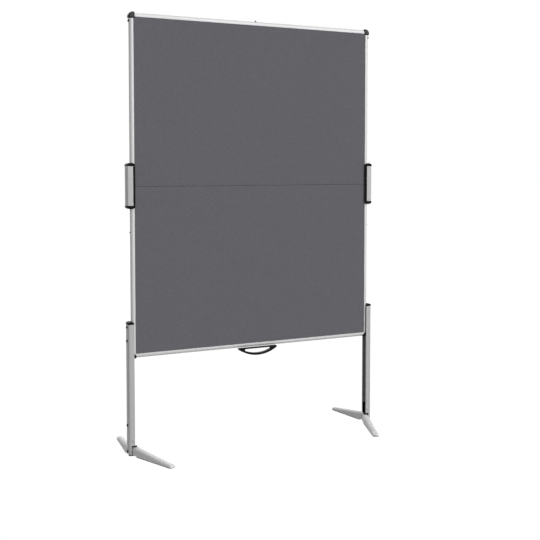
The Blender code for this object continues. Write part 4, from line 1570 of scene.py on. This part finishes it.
def cushion_prism(
    name: str, outline: Sequence[Vector], half: float, edge: float, dome: float, steps: int = 8
) -> Mesh:
    """A prism along Y whose two faces roll over into its side.

    Args:
        name: the mesh's name.
        outline: the outline in XZ.
        half: half its depth.
        edge: how deep the roll goes.
        dome: how far in from the outline it reaches.
        steps: how many rings the roll has.

    Returns:
        A closed mesh.
    """
    middle = sum(outline, Vector((0.0, 0.0))) / len(outline)
    reach = max((point - middle).length for point in outline)
    turns = [math.pi / 2 * (1 - step / steps) for step in range(steps + 1)]
    levels = [(dome * (1 - math.cos(turn)), half - edge + edge * math.sin(turn)) for turn in turns]
    rings = []
    for inset, depth in [(inset, -depth) for inset, depth in levels] + list(reversed(levels)):
        placed = [middle + (point - middle) * (1.0 - inset / reach) for point in outline]
        rings.append([(point.x, depth, point.y) for point in placed])
    return loft(name, rings, sharp_angle=40.0)


@dataclass
class ChannelSection:
    """The open channel that the legs and the locking sleeves are cut from, and the room for the stile."""

    outer: float = 0.6365
    width: float = 0.028
    depth: float = 0.038
    wall: float = 0.002
    lip: float = 0.0035
    corner: float = 0.007
    line_width: float = 0.0008
    line_depth: float = 0.0003
    mouth_edge: float = 0.0006
    lip_edge: float = 0.0003
    slot_x: float = 0.6190
    slot_y: float = 0.0115

    @property
    def inner(self) -> float:
        """X of the channel's mouth."""
        return self.outer - self.width

    def outline(self, lines: Sequence[float], lipped: bool) -> list[Vector]:
        """The channel's outline.

        Args:
            lines: how far from the mouth each fine line on the flanges is.
            lipped: whether the mouth has return lips.

        Returns:
            The outline's points.
        """
        half, wall = self.depth / 2, self.wall
        low, high = (self.inner, -half), (self.outer, -half)
        front = grooved(low, high, lines, self.line_width, self.line_depth)
        back = [(x, -y, radius) for x, y, radius in reversed(front)]
        lip_y = half - wall - self.lip
        inside: list[Corner] = []
        if lipped:
            inside = [(self.inner, lip_y, self.lip_edge), (self.inner + wall, lip_y, self.lip_edge)]
            inside.append((self.inner + wall, half - wall, 0.0))
        else:
            inside = [(self.inner, half - wall, self.lip_edge)]
        inside.append((self.outer - wall, half - wall, self.corner - wall))
        inside += [(x, -y, radius) for x, y, radius in reversed(inside)]
        return rounded([
            (self.inner, -half, self.mouth_edge),
            *front,
            (self.outer, -half, self.corner),
            (self.outer, half, self.corner),
            *back,
            (self.inner, half, self.mouth_edge),
            *inside,
        ])


@dataclass
class LockingSleeve:
    """The sleeve that slides over the seam and keeps the board straight."""

    kit: Kit
    side: Side
    channel: ChannelSection = field(default_factory=ChannelSection)
    lip_x: float = 0.5985
    lip_edges: tuple[float, float] = (0.0006, 0.0012)
    slack: float = 0.0003
    cap_end: float = 0.0045
    cap_height: float = 0.015
    cap_edge: float = 0.0016
    cap_reach: float = 0.018
    gate_y: float = 0.022
    lines: tuple[float, ...] = (0.0045, 0.0085, 0.0125, 0.0165)

    @property
    def body(self) -> str:
        """The body that it moves with."""
        return f"{self.side.value}_sleeve"

    def build(self) -> None:
        """Makes and dresses the sleeve."""
        low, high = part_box(f"sleeve_shell_{self.side.value}")
        self.low, self.high = low.z, high.z
        self.build_shell()
        self.build_liner()
        for end in End:
            self.build_cap(end)

    def gate(self) -> Mesh:
        """What is cut away for the upper stile to swing out at the back.

        Returns:
            The cutter.
        """
        low = (self.lip_x - SPARE, -self.channel.slot_y, SEAM_Z)
        high = (self.channel.slot_x, self.gate_y, self.high + self.cap_reach)
        return block("way_out", low, high, self.side)

    def build_shell(self) -> None:
        """The aluminium shell."""
        node = f"sleeve_shell_{self.side.value}"
        outline = mirrored(self.channel.outline(self.lines, False), self.side)
        finish = self.kit.finishes.sleeve
        mesh = self.kit.extrusion.extrude(f"{node}_extrusion", [outline], self.low, self.high, Axis.Z, finish)
        mesh = carved(mesh, [self.gate()])
        self.kit.piece(mesh, finish, Slot.ALUMINIUM, self.body, [node])

    def build_liner(self) -> None:
        """The black liner, whose lip shows along the board."""
        node = f"sleeve_liner_{self.side.value}"
        half, slack, slot_y = self.channel.depth / 2, self.slack, self.channel.slot_y
        step = self.channel.inner - slack
        bore_x = self.channel.outer - self.channel.wall - slack
        bore_y = half - self.channel.wall - slack
        near_edge, far_edge = self.lip_edges
        front: list[Corner] = [
            (self.channel.slot_x, -slot_y, 0.0),
            (self.lip_x, -slot_y, near_edge),
            (self.lip_x, -half, far_edge),
            (step, -half, near_edge),
            (step, -bore_y, 0.0),
            (bore_x, -bore_y, self.channel.corner - self.channel.wall),
        ]
        back = [(x, -y, radius) for x, y, radius in reversed(front)]
        outline = mirrored(rounded(front + back, steps=5), self.side)
        finish = self.kit.finishes.black
        low, high = self.low + slack, self.high - slack
        mesh = self.kit.extrusion.extrude(f"{node}_moulding", [outline], low, high, Axis.Z, finish)
        mesh = carved(mesh, [self.gate()])
        self.kit.piece(mesh, finish, Slot.BLACK_PLASTIC, self.body, [node])

    def build_cap(self, end: End) -> None:
        """A moulded end cap, arched from the leg side to the board side.

        Args:
            end: the sleeve's end that it closes.
        """
        node = f"sleeve_{end.value}_cap_{self.side.value}"
        seat = self.high + self.slack if end is End.TOP else self.low - self.slack
        rise, crown = end.sign * self.cap_end, end.sign * self.cap_height
        outline = mirrored(arched(self.lip_x, self.channel.outer, seat, rise, crown, steps=28), self.side)
        mesh = bevelled(prism(node + "_moulding", outline, self.channel.depth / 2), self.cap_edge, segments=4)
        if end is End.TOP:
            cutter = self.gate()
        else:
            slot_x, slot_y = self.channel.slot_x, self.channel.slot_y
            low = (self.lip_x - SPARE, -slot_y, seat - self.cap_reach)
            cutter = block("stile_slot", low, (slot_x, slot_y, seat + SPARE), self.side)
        self.kit.piece(carved(mesh, [cutter]), self.kit.finishes.black, Slot.BLACK_PLASTIC, self.body, [node])


@dataclass
class Leg:
    """A sliding leg: channel, cap, bushes, foot bracket, runner, catch button and its spring."""

    kit: Kit
    side: Side
    channel: ChannelSection = field(default_factory=ChannelSection)
    travel: float = 0.380
    hole_radius: float = 0.0042
    hole_depth: float = 0.005
    cut_z: float = 0.0463
    flange_y: float = 0.001
    strip: float = 0.0122
    toe_round: float = 0.006
    cap_height: float = 0.0122
    cap_end: float = 0.0035
    cap_edge: float = 0.0014
    skirt_gap: float = 0.0025
    skirt_round: float = 0.0045
    bush_radius: float = 0.0065
    bush_proud: float = 0.0034
    bush_slack: float = 0.0003
    bush_depth: float = 0.0008
    bush_chamfers: tuple[float, float, float] = (0.0004, 0.0007, 0.0016)
    bush_rises: tuple[float, float] = (0.4, 0.85)
    button_round: float = 0.0012
    button_squat: float = 1.6
    press: float = 0.003
    wire: float = 0.0006
    turns: int = 4
    lines: tuple[float, ...] = (0.0030, 0.0160)

    @property
    def body(self) -> str:
        """The body that it moves with."""
        return f"{self.side.value}_leg"

    def build(self) -> None:
        """Makes and dresses the leg."""
        low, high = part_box(f"catch_button_{self.side.value}")
        self.hole_z = (low.z + high.z) / 2
        self.build_channel()
        self.build_cap()
        self.kit.repaint(f"foot_bracket_{self.side.value}", self.kit.finishes.black)
        for face in Face:
            self.kit.repaint(f"{face.value}_foot_pin_{self.side.value}", self.kit.finishes.zinc)
        self.kit.repaint(f"leg_runner_{self.side.value}", self.kit.finishes.black)
        self.build_button()
        self.build_spring()
        self.build_bushes()

    def build_channel(self) -> None:
        """The channel with its catch holes and its cut-away end."""
        node = f"leg_channel_{self.side.value}"
        low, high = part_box(node)
        sign = self.side.sign
        outline = mirrored(self.channel.outline(self.lines, True), self.side)
        finish = self.kit.finishes.leg
        mesh = self.kit.extrusion.extrude(f"{node}_extrusion", [outline], low.z, high.z, Axis.Z, finish)
        back, outer = self.channel.depth / 2 + SPARE, self.channel.outer
        cutters = []
        for height in (self.hole_z, self.hole_z - self.travel):
            near, far = (sign * (outer - self.hole_depth), 0, height), (sign * (outer + SPARE), 0, height)
            cutters.append(rod("catch_hole", near, far, self.hole_radius, sides=28))
        edge, foot = outer - self.strip, low.z - SPARE
        mouth = (self.channel.inner - SPARE, -back, foot)
        cutters.append(block("mouth_cut", mouth, (edge, back, self.cut_z), self.side))
        behind = (edge - SPARE, self.flange_y, foot)
        cutters.append(block("back_cut", behind, (outer + SPARE, back, self.cut_z), self.side))
        cutters.append(self.toe_cutter(low.z))
        self.kit.piece(carved(mesh, cutters), finish, Slot.ALUMINIUM, self.body, [node])

    def toe_cutter(self, low: float) -> Mesh:
        """What is cut from the outer corner of the channel's end, so that it is round.

        Args:
            low: Z of the end.

        Returns:
            The cutter.
        """
        outer, radius = self.channel.outer, self.toe_round
        outline = arc((outer - radius, low + radius), radius, 270, 360, steps=8)
        outline += [Vector((outer + SPARE, low + radius)), Vector((outer + SPARE, low - SPARE))]
        outline.append(Vector((outer - radius, low - SPARE)))
        return prism("toe", mirrored(outline, self.side), self.channel.depth)

    def build_cap(self) -> None:
        """The moulded cap, which slides on the stile."""
        node = f"leg_cap_{self.side.value}"
        low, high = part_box(node)
        seat = high.z - self.cap_height
        inner, outer, half = self.channel.inner, self.channel.outer, self.channel.depth / 2
        outline = mirrored(arched(inner, outer, seat, self.cap_end, high.z - seat, steps=24), self.side)
        mesh = bevelled(prism(node + "_moulding", outline, half), self.cap_edge, segments=4)
        gap, slot_y = self.skirt_gap, self.channel.slot_y
        skirt_low, skirt_high = (inner + gap, -half + gap, low.z), (outer - gap, half - gap, seat + SPARE)
        skirt = bevelled(block("skirt", skirt_low, skirt_high, self.side), self.skirt_round, segments=5)
        slot_low = (inner - SPARE, -slot_y, low.z - SPARE)
        slot_high = (self.channel.slot_x, slot_y, high.z + SPARE)
        mesh = carved(mesh, [block("stile_slot", slot_low, slot_high, self.side)], [skirt])
        self.kit.piece(mesh, self.kit.finishes.black, Slot.BLACK_PLASTIC, self.body, [node])

    def build_bushes(self) -> None:
        """The moulded bushes round the two catch holes."""
        inner, outer, proud = self.hole_radius - self.bush_slack, self.bush_radius, self.bush_proud
        foot = -self.channel.wall - self.bush_depth
        mouth, shoulder, crown = self.bush_chamfers
        side_end, shoulder_end = (proud * share for share in self.bush_rises)
        profile = [
            (inner, foot),
            (self.hole_radius, foot),
            (self.hole_radius, 0.0),
            (outer, 0.0),
            (outer, side_end),
            (outer - shoulder, shoulder_end),
            (outer - crown, proud),
            (inner + mouth, proud),
            (inner, proud - mouth),
        ]
        for word, height in (("upper", self.hole_z), ("lower", self.hole_z - self.travel)):
            name = f"{word}_catch_bush_{self.side.value}"
            place = (self.side.sign * self.channel.outer, 0.0, height)
            mesh = ring_lathe(name, profile, place, (self.side.sign, 0, 0))
            self.kit.piece(mesh, self.kit.finishes.black, Slot.BLACK_PLASTIC, self.body)

    def build_button(self) -> None:
        """The catch button's domed end, just inside the hole."""
        node = f"catch_button_{self.side.value}"
        low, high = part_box(node)
        radius, length = (high.z - low.z) / 2, high.x - low.x
        steps, edge = 6, self.button_round
        profile = [(radius, 0.0), (radius, length - edge)]
        for step in range(1, steps):
            turn = math.pi / 2 * step / steps
            inset = edge * (1 - math.cos(turn)) * self.button_squat
            profile.append((radius - inset, length - edge + edge * math.sin(turn)))
        start = low.x if self.side is Side.RIGHT else high.x
        mesh = lathe(node + "_turned", profile, (start, 0, self.hole_z), (self.side.sign, 0, 0))
        self.kit.piece(mesh, self.kit.finishes.black, Slot.BLACK_PLASTIC, f"{self.side.value}_button", [node])

    def build_spring(self) -> None:
        """The coil spring behind the button, drawn at the length of its solid."""
        node = f"button_spring_{self.side.value}"
        low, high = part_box(node)
        sign, radius, length = self.side.sign, (high.z - low.z - self.wire) / 2, high.x - low.x
        start = low.x if sign > 0 else high.x
        steps, sides = 24, 10
        rings = []
        for step in range(self.turns * steps + 1):
            turn = math.tau * step / steps
            outward = Vector((0.0, math.cos(turn), math.sin(turn)))
            along = self.wire / 2 + (length - self.wire) * step / (self.turns * steps)
            middle = Vector((start + sign * along, 0.0, self.hole_z)) + outward * radius
            around = [math.tau * side / sides for side in range(sides)]
            rings.append([
                middle + (outward * math.cos(a) + Axis.X.along * math.sin(a)) * self.wire / 2 for a in around
            ])
        coil = loft(node + "_coil", rings, sharp_angle=60.0)
        spring = self.kit.piece(coil, self.kit.finishes.zinc, Slot.ZINC_STEEL, "lower_panel", [node])
        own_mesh(spring)


@dataclass
class SwingFoot:
    """One foot: a tapered casting on its pin, over a rubber pad."""

    kit: Kit
    side: Side
    face: Face
    pivot: Vector
    turn: float
    length: float = 0.2545
    width: float = 0.031
    height: float = 0.0405
    tip_height: float = 0.0120
    shoulder: float = 0.016
    base: float = 0.0030
    crown: float = 0.0125
    crown_share: float = 0.8
    tip_round: float = 0.0095
    tip_fall: float = 0.0012
    draft: float = 0.0006
    skirt_low: float = 0.0022
    skirt_high: float = 0.0030
    recess_z: float = 0.0055
    recess_y: float = 0.0225
    bore: float = 0.0033
    dimple_radius: float = 0.0026
    dimple_depth: float = 0.004
    dimple_drop: float = 0.0003
    pad_thick: float = 0.0027
    pad_inset: float = 0.0008
    pad_gap: float = 0.002
    pad_heel: float = 0.002
    pad_tip: float = 0.009
    pad_edge: float = 0.0004
    sharp_angle: float = 42.0

    @property
    def body(self) -> str:
        """The body that it moves with."""
        return f"{self.side.value}_{self.face.value}_foot"

    def place(self) -> Matrix:
        """Turns the foot from pointing along -Y and moves it to its pin."""
        return Matrix.Translation(self.pivot) @ Matrix.Rotation(self.turn, 4, "Z")

    def ring(self, along: float, half: float, height: float) -> list[Corner]:
        """One section of the casting: sides with a slight draft and a crowned top.

        Args:
            along: how far the section is from the pin, towards the tip.
            half: half its width.
            height: its height.

        Returns:
            The points of the section.
        """
        radius = min(self.crown, half * self.crown_share, (height - self.base) * self.crown_share)
        shoulder, top = half - self.draft, height - radius
        low, high = self.base + self.skirt_low, self.base + self.skirt_high
        points = [(-half, self.base), (half, self.base), (half, low), (shoulder, high)]
        points += [(shoulder - radius + p.x, p.y) for p in arc((0.0, top), radius, 0, 90, steps=8)]
        points += [(radius - shoulder + p.x, p.y) for p in arc((0.0, top), radius, 90, 180, steps=8)]
        points += [(-shoulder, high), (-half, low)]
        return [(x, -along, z) for x, z in points]

    def build(self) -> None:
        """Makes and dresses the foot."""
        self.build_casting()
        self.build_pad()

    def build_casting(self) -> None:
        """The casting, round at the pin and tapering to the tip."""
        node = f"{self.face.value}_foot_{self.side.value}"
        half = self.width / 2
        fall = (self.height - self.tip_height) / (self.length - self.shoulder)
        heel_steps, body_steps, tip_steps = 9, 8, 7
        heel_start, tip_end = 0.7, 7.4
        rings = []
        for step in range(heel_steps):
            turn = math.pi / 2 * (step + heel_start) / heel_steps
            rings.append(self.ring(-half * math.cos(turn), half * math.sin(turn), self.height))
        straight, start = self.length - self.tip_round, self.shoulder * 1.4
        places = [0.0, self.shoulder * 0.6, self.shoulder, start]
        places += [start + (straight - start) * (step + 1) / body_steps for step in range(body_steps)]
        for along in places:
            eased = max(0.0, along - self.shoulder)
            rings.append(self.ring(along, half, self.height - fall * eased))
        for step in range(tip_steps):
            turn = math.pi / 2 * (step + 1) / tip_end
            along = straight + self.tip_round * math.sin(turn)
            width = half - self.tip_round * (1 - math.cos(turn))
            height = self.height - fall * (along - self.shoulder) - self.tip_fall * math.sin(turn)
            rings.append(self.ring(along, width, height))
        mesh = loft(f"{node}_casting", rings, self.sharp_angle)
        reach = half + SPARE
        cutters = [
            block("recess", (-reach, -self.recess_y, 0), (reach, reach, self.recess_z)),
            rod("bore", (0, 0, 0), (0, 0, self.height + SPARE), self.bore),
        ]
        middle = (self.recess_z + self.height) / 2 - self.dimple_drop
        for way in (-1, 1):
            near, far = (way * (half - self.dimple_depth), 0, middle), (way * (half + SPARE), 0, middle)
            cutters.append(rod("dimple", near, far, self.dimple_radius, sides=24))
        mesh = carved(mesh, cutters, sharp_angle=self.sharp_angle)
        mesh.transform(self.place())
        self.kit.piece(mesh, self.kit.finishes.casting, Slot.CASTING, self.body, [node])

    def build_pad(self) -> None:
        """The rubber pad under the casting."""
        node = f"{self.face.value}_foot_pad_{self.side.value}"
        half, finish = self.width / 2 - self.pad_inset, self.kit.finishes.rubber
        heel, tip = -self.recess_y - self.pad_gap, self.pad_gap - self.length
        outline = rounded([
            (-half, heel, self.pad_heel),
            (-half, tip, self.pad_tip),
            (half, tip, self.pad_tip),
            (half, heel, self.pad_heel),
        ])
        mesh = self.kit.extrusion.extrude(f"{node}_moulding", [outline], 0.0, self.pad_thick, Axis.Z, finish)
        mesh = bevelled(mesh, self.pad_edge, segments=2)
        mesh.transform(self.place())
        self.kit.piece(mesh, finish, Slot.RUBBER, self.body, [node])


@dataclass
class CarryHandle:
    """The moulded loop under the bottom rail."""

    kit: Kit
    depth: float = 0.018
    length: float = 0.196
    drop: float = 0.037
    end: float = 0.007
    plate: float = 0.005
    grip: float = 0.0095
    opening: float = 0.136
    edge: float = 0.0022

    def build(self) -> None:
        """Makes and dresses the handle."""
        _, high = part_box("carry_handle")
        top, half = high.z, self.length / 2
        rise = self.drop - self.end
        radius = (half ** 2 + rise ** 2) / (2 * rise)
        middle = top - self.drop + radius
        sweep = math.degrees(math.asin(half / radius))
        outline = [Vector((-half, top))] + arc((0, middle), radius, 270 - sweep, 270 + sweep, steps=48)
        outline.append(Vector((half, top)))
        inner, gap = radius - self.grip, self.opening / 2
        sweep = math.degrees(math.asin(gap / inner))
        roof = top - self.plate
        hole = [Vector((-gap, roof))] + arc((0, middle), inner, 270 - sweep, 270 + sweep, steps=40)
        hole.append(Vector((gap, roof)))
        finish, deep = self.kit.finishes.black, self.depth / 2
        mesh = self.kit.extrusion.extrude("carry_handle_loop", [outline, hole], -deep, deep, Axis.Y, finish)
        mesh = bevelled(mesh, self.edge, segments=4)
        self.kit.piece(mesh, finish, Slot.BLACK_PLASTIC, "lower_panel", ["carry_handle"])


@dataclass
class SeamHinge:
    """A hinge on the back: two leaves and a pin."""

    kit: Kit
    side: Side

    def build(self) -> None:
        """Dresses the hinge."""
        for half in Half:
            self.kit.repaint(f"{half.value}_hinge_leaf_{self.side.value}", self.kit.finishes.zinc)
        self.kit.repaint(f"hinge_pin_{self.side.value}", self.kit.finishes.zinc)


@dataclass
class Fasteners:
    """Every screw and bolt head, made in one go for each body."""

    kit: Kit
    heads: Screws = field(default_factory=Screws)
    handle_x: float = 0.058
    stop_stretch: float = 1.7
    leg_x: float = 0.6365
    leg_heights: tuple[float, ...] = (0.5794, 0.0200)
    corner_x: float = 0.6185
    corner_z: float = 1.9340
    hinge_across: tuple[float, ...] = (-0.019, 0.019)
    hinge_rises: tuple[float, ...] = (0.014, 0.026)
    leaf_thick: float = 0.0016

    def build(self) -> None:
        """Makes all the heads."""
        cross = self.kit.helper(self.heads.cross_head())
        large = self.heads.cross_head()
        large.transform(Matrix.Diagonal((*self.heads.side_scale, 1.0)))
        broad = self.kit.helper(large)
        socket = self.kit.helper(self.heads.socket_head())
        zinc, oxide, bolt = self.kit.finishes.zinc, self.kit.finishes.oxide, self.kit.finishes.bolt
        for half, seed in ((Half.LOWER, 3), (Half.UPPER, 4)):
            name, body = f"{half.value}_hinge_screws", f"{half.value}_panel"
            self.make(name, cross, self.hinge_seats(half), zinc, Slot.ZINC_STEEL, body, seed)
        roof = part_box("carry_handle")[1].z - CarryHandle(self.kit).plate
        seats = [((way * self.handle_x, 0.0, roof), (0, 0, -1)) for way in (-1, 1)]
        self.make("handle_screws", cross, seats, oxide, Slot.BLACK_STEEL, "lower_panel", seed=5)
        for side in Side:
            sign, label = side.sign, side.value
            outward = (sign, 0, 0)
            seat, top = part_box(f"stop_screw_{label}")
            x = seat.x if sign > 0 else top.x
            seats = [((x, 0.0, (seat.z + top.z) / 2), outward)]
            made = self.kit.fasteners.scatter(f"stop_screw_head_{label}", cross, seats, oxide, seed=6)
            made.transform(stretched(Vector(seats[0][0]), self.stop_stretch))
            self.kit.piece(made, oxide, Slot.BLACK_STEEL, "lower_panel", [f"stop_screw_{label}"])
            seats = [((sign * self.leg_x, 0.0, height), outward) for height in self.leg_heights]
            self.make(f"leg_screws_{label}", broad, seats, oxide, Slot.BLACK_STEEL, f"{label}_leg", seed=7)
            seats = [((sign * self.corner_x, 0.0, self.corner_z), outward)]
            self.make(f"corner_screw_{label}", broad, seats, oxide, Slot.BLACK_STEEL, "upper_panel", seed=8)
            low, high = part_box(f"bracket_bolt_{label}")
            seats = [(((low.x + high.x) / 2, high.y, (low.z + high.z) / 2), (0, -1, 0))]
            made = self.kit.fasteners.scatter(f"bracket_bolt_head_{label}", socket, seats, bolt, seed=9)
            self.kit.piece(made, bolt, Slot.ZINC_STEEL, f"{label}_leg", [f"bracket_bolt_{label}"])

    def hinge_seats(self, half: Half) -> list[Seat]:
        """Where the screws of both leaves on one half of the board sit.

        Args:
            half: the half.

        Returns:
            The place of each screw and the way it faces.
        """
        seats = []
        for side in Side:
            low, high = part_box(f"{half.value}_hinge_leaf_{side.value}")
            middle = (low.x + high.x) / 2
            for across in self.hinge_across:
                for rise in self.hinge_rises:
                    place = (middle + across, low.y + self.leaf_thick, SEAM_Z + half.sign * rise)
                    seats.append((place, (0, 1, 0)))
        return seats

    def make(
        self,
        name: str,
        head: bpy.types.Object,
        seats: Sequence[Seat],
        finish: Material,
        slot: Slot,
        body: str,
        seed: int,
    ) -> None:
        """Makes the heads of one kind on one body."""
        mesh = self.kit.fasteners.scatter(name, head, seats, finish, seed)
        self.kit.piece(mesh, finish, slot, body)


def stretched(middle: Vector, scale: float) -> Matrix:
    """Stretches along X, and keeps one point where it is."""
    return Matrix.Translation(middle) @ Matrix.Diagonal((scale, 1.0, 1.0, 1.0)) @ Matrix.Translation(-middle)


# The set

def seen_directly(shader: Shader) -> Socket:
    """Adds what tells the rays that see the set itself.

    Args:
        shader: the tree.

    Returns:
        1 where a camera, glossy or transmission ray arrives, and otherwise 0.
    """
    path = shader.node("ShaderNodeLightPath")
    first = shader.math("MAXIMUM", path.outputs["Is Camera Ray"], path.outputs["Is Glossy Ray"])
    return shader.math("MAXIMUM", first, path.outputs["Is Transmission Ray"])


@dataclass
class Studio:
    """The floor, the lights and the camera."""

    eye: tuple[float, float, float] = (-1.9026, -3.9515, 1.2997)
    yaw: float = 26.595
    lens: float = 61.88
    shift: float = -0.106
    pitch: float = 2.928
    lamp_angle: float = 50.0
    key_from: tuple[float, float, float] = (0.56, -1.0, 0.44)
    key_power: float = 0.85
    top_from: tuple[float, float, float] = (-0.1, -0.1, 1.0)
    top_power: float = 0.19
    back_from: tuple[float, float, float] = (0.1, 1.0, 0.7)
    back_power: float = 0.32
    ambient: float = 0.21
    floor_half: float = 60.0
    floor_tone: float = 0.33
    floor_share: float = 0.72
    floor_white: float = 1.32
    floor_rough: float = 0.9
    sensor: float = 36.0
    far_end: float = 100.0

    def build(self) -> None:
        """Makes the whole set."""
        self.build_floor()
        self.build_lights()
        self.build_world()
        self.build_camera()

    def build_floor(self) -> None:
        """A pale floor that the camera and reflections see as white, but for the shadows on it."""
        mesh = bpy.data.meshes.new("studio_floor")
        half = self.floor_half
        corners = [(-half, -half, 0), (half, -half, 0), (half, half, 0), (-half, half, 0)]
        mesh.from_pydata(corners, [], [(0, 1, 2, 3)])
        floor = linked("studio_floor", mesh)
        material = bpy.data.materials.new("pale_floor")
        material.use_nodes = True
        shader = Shader(material.node_tree.nodes, material.node_tree.links)
        surface = shader.nodes["Principled BSDF"]
        surface.inputs["Roughness"].default_value = self.floor_rough
        surface.inputs["Specular IOR Level"].default_value = 0.0
        surface.inputs["Base Color"].default_value = (*(self.floor_tone,) * 3, 1.0)
        white = shader.node("ShaderNodeEmission", {"Strength": self.floor_white})
        mix = shader.node("ShaderNodeMixShader")
        shader.link(shader.math("MULTIPLY", seen_directly(shader), self.floor_share), mix.inputs["Fac"])
        shader.link(surface.outputs["BSDF"], mix.inputs[1])
        shader.link(white.outputs["Emission"], mix.inputs[2])
        shader.link(mix.outputs["Shader"], shader.nodes["Material Output"].inputs["Surface"])
        mesh.materials.append(material)

    def build_lights(self) -> None:
        """A broad soft key from the front right, and weak ones from above and from behind."""
        for name, toward, power in (
            ("key", self.key_from, self.key_power),
            ("top", self.top_from, self.top_power),
            ("back", self.back_from, self.back_power),
        ):
            lamp = bpy.data.lights.new(name, "SUN")
            lamp.angle = math.radians(self.lamp_angle)
            lamp.energy = power * math.pi
            linked(name, lamp).rotation_euler = Vector(toward).to_track_quat("Z", "Y").to_euler()

    def build_world(self) -> None:
        """A soft surround, which the camera and reflections see as white."""
        world = bpy.data.worlds.new("surround")
        bpy.context.scene.world = world
        world.use_nodes = True
        shader = Shader(world.node_tree.nodes, world.node_tree.links)
        background = shader.nodes["Background"]
        background.inputs["Color"].default_value = (1.0, 1.0, 1.0, 1.0)
        strength = shader.node("ShaderNodeMapRange", {"To Min": self.ambient, "To Max": 1.0})
        shader.link(seen_directly(shader), strength.inputs["Value"])
        shader.link(strength.outputs["Result"], background.inputs["Strength"])

    def build_camera(self) -> None:
        """The camera at the photograph's place."""
        camera = bpy.data.cameras.new("photo_camera")
        camera.lens = self.lens
        camera.sensor_width = self.sensor
        camera.shift_y = self.shift
        camera.clip_end = self.far_end
        holder = linked("photo_camera", camera)
        holder.location = self.eye
        holder.rotation_euler = (math.radians(90.0 - self.pitch), 0.0, -math.radians(self.yaw))
        bpy.context.scene.camera = holder


@dataclass(frozen=True)
class Stance:
    """Where a foot's pin is on the right-hand leg, and the way the foot points from -Y, in degrees."""

    face: Face
    x: float
    y: float
    facing: float
    swing: float

    def foot(self, kit: Kit, side: Side) -> SwingFoot:
        """The foot that stands so.

        Args:
            kit: the finishes and trees.
            side: the side that it is on.

        Returns:
            The foot, not yet built.
        """
        turn = math.radians(self.facing) + side.sign * math.radians(self.swing)
        return SwingFoot(kit, side, self.face, Vector((side.sign * self.x, self.y, 0.0)), turn)


STANCES = (
    Stance(Face.FRONT, x=0.6065, y=-0.0175, facing=0.0, swing=-20.6),
    Stance(Face.REAR, x=0.6215, y=0.0175, facing=180.0, swing=7.0),
)


def main() -> None:
    """Builds the set, then each sub-assembly in order."""
    logging.basicConfig(level=logging.INFO, format="%(name)s: %(message)s")
    bpy.context.scene.view_settings.view_transform = "Standard"
    Studio().build()
    kit = Kit(Finishes(), ExtrusionTree(), FastenerTree())
    finishes = kit.finishes
    Panel(kit, Half.LOWER, finishes.black, Slot.BLACK_PLASTIC).build()
    Panel(kit, Half.UPPER, finishes.grey, Slot.GREY_PLASTIC).build()
    kit.repaint("catch_stud", finishes.black)
    CarryHandle(kit).build()
    for side in Side:
        SeamHinge(kit, side).build()
        LockingSleeve(kit, side).build()
        Leg(kit, side).build()
        for stance in STANCES:
            stance.foot(kit, side).build()
    Fasteners(kit).build()


if __name__ == "__main__":
    main()
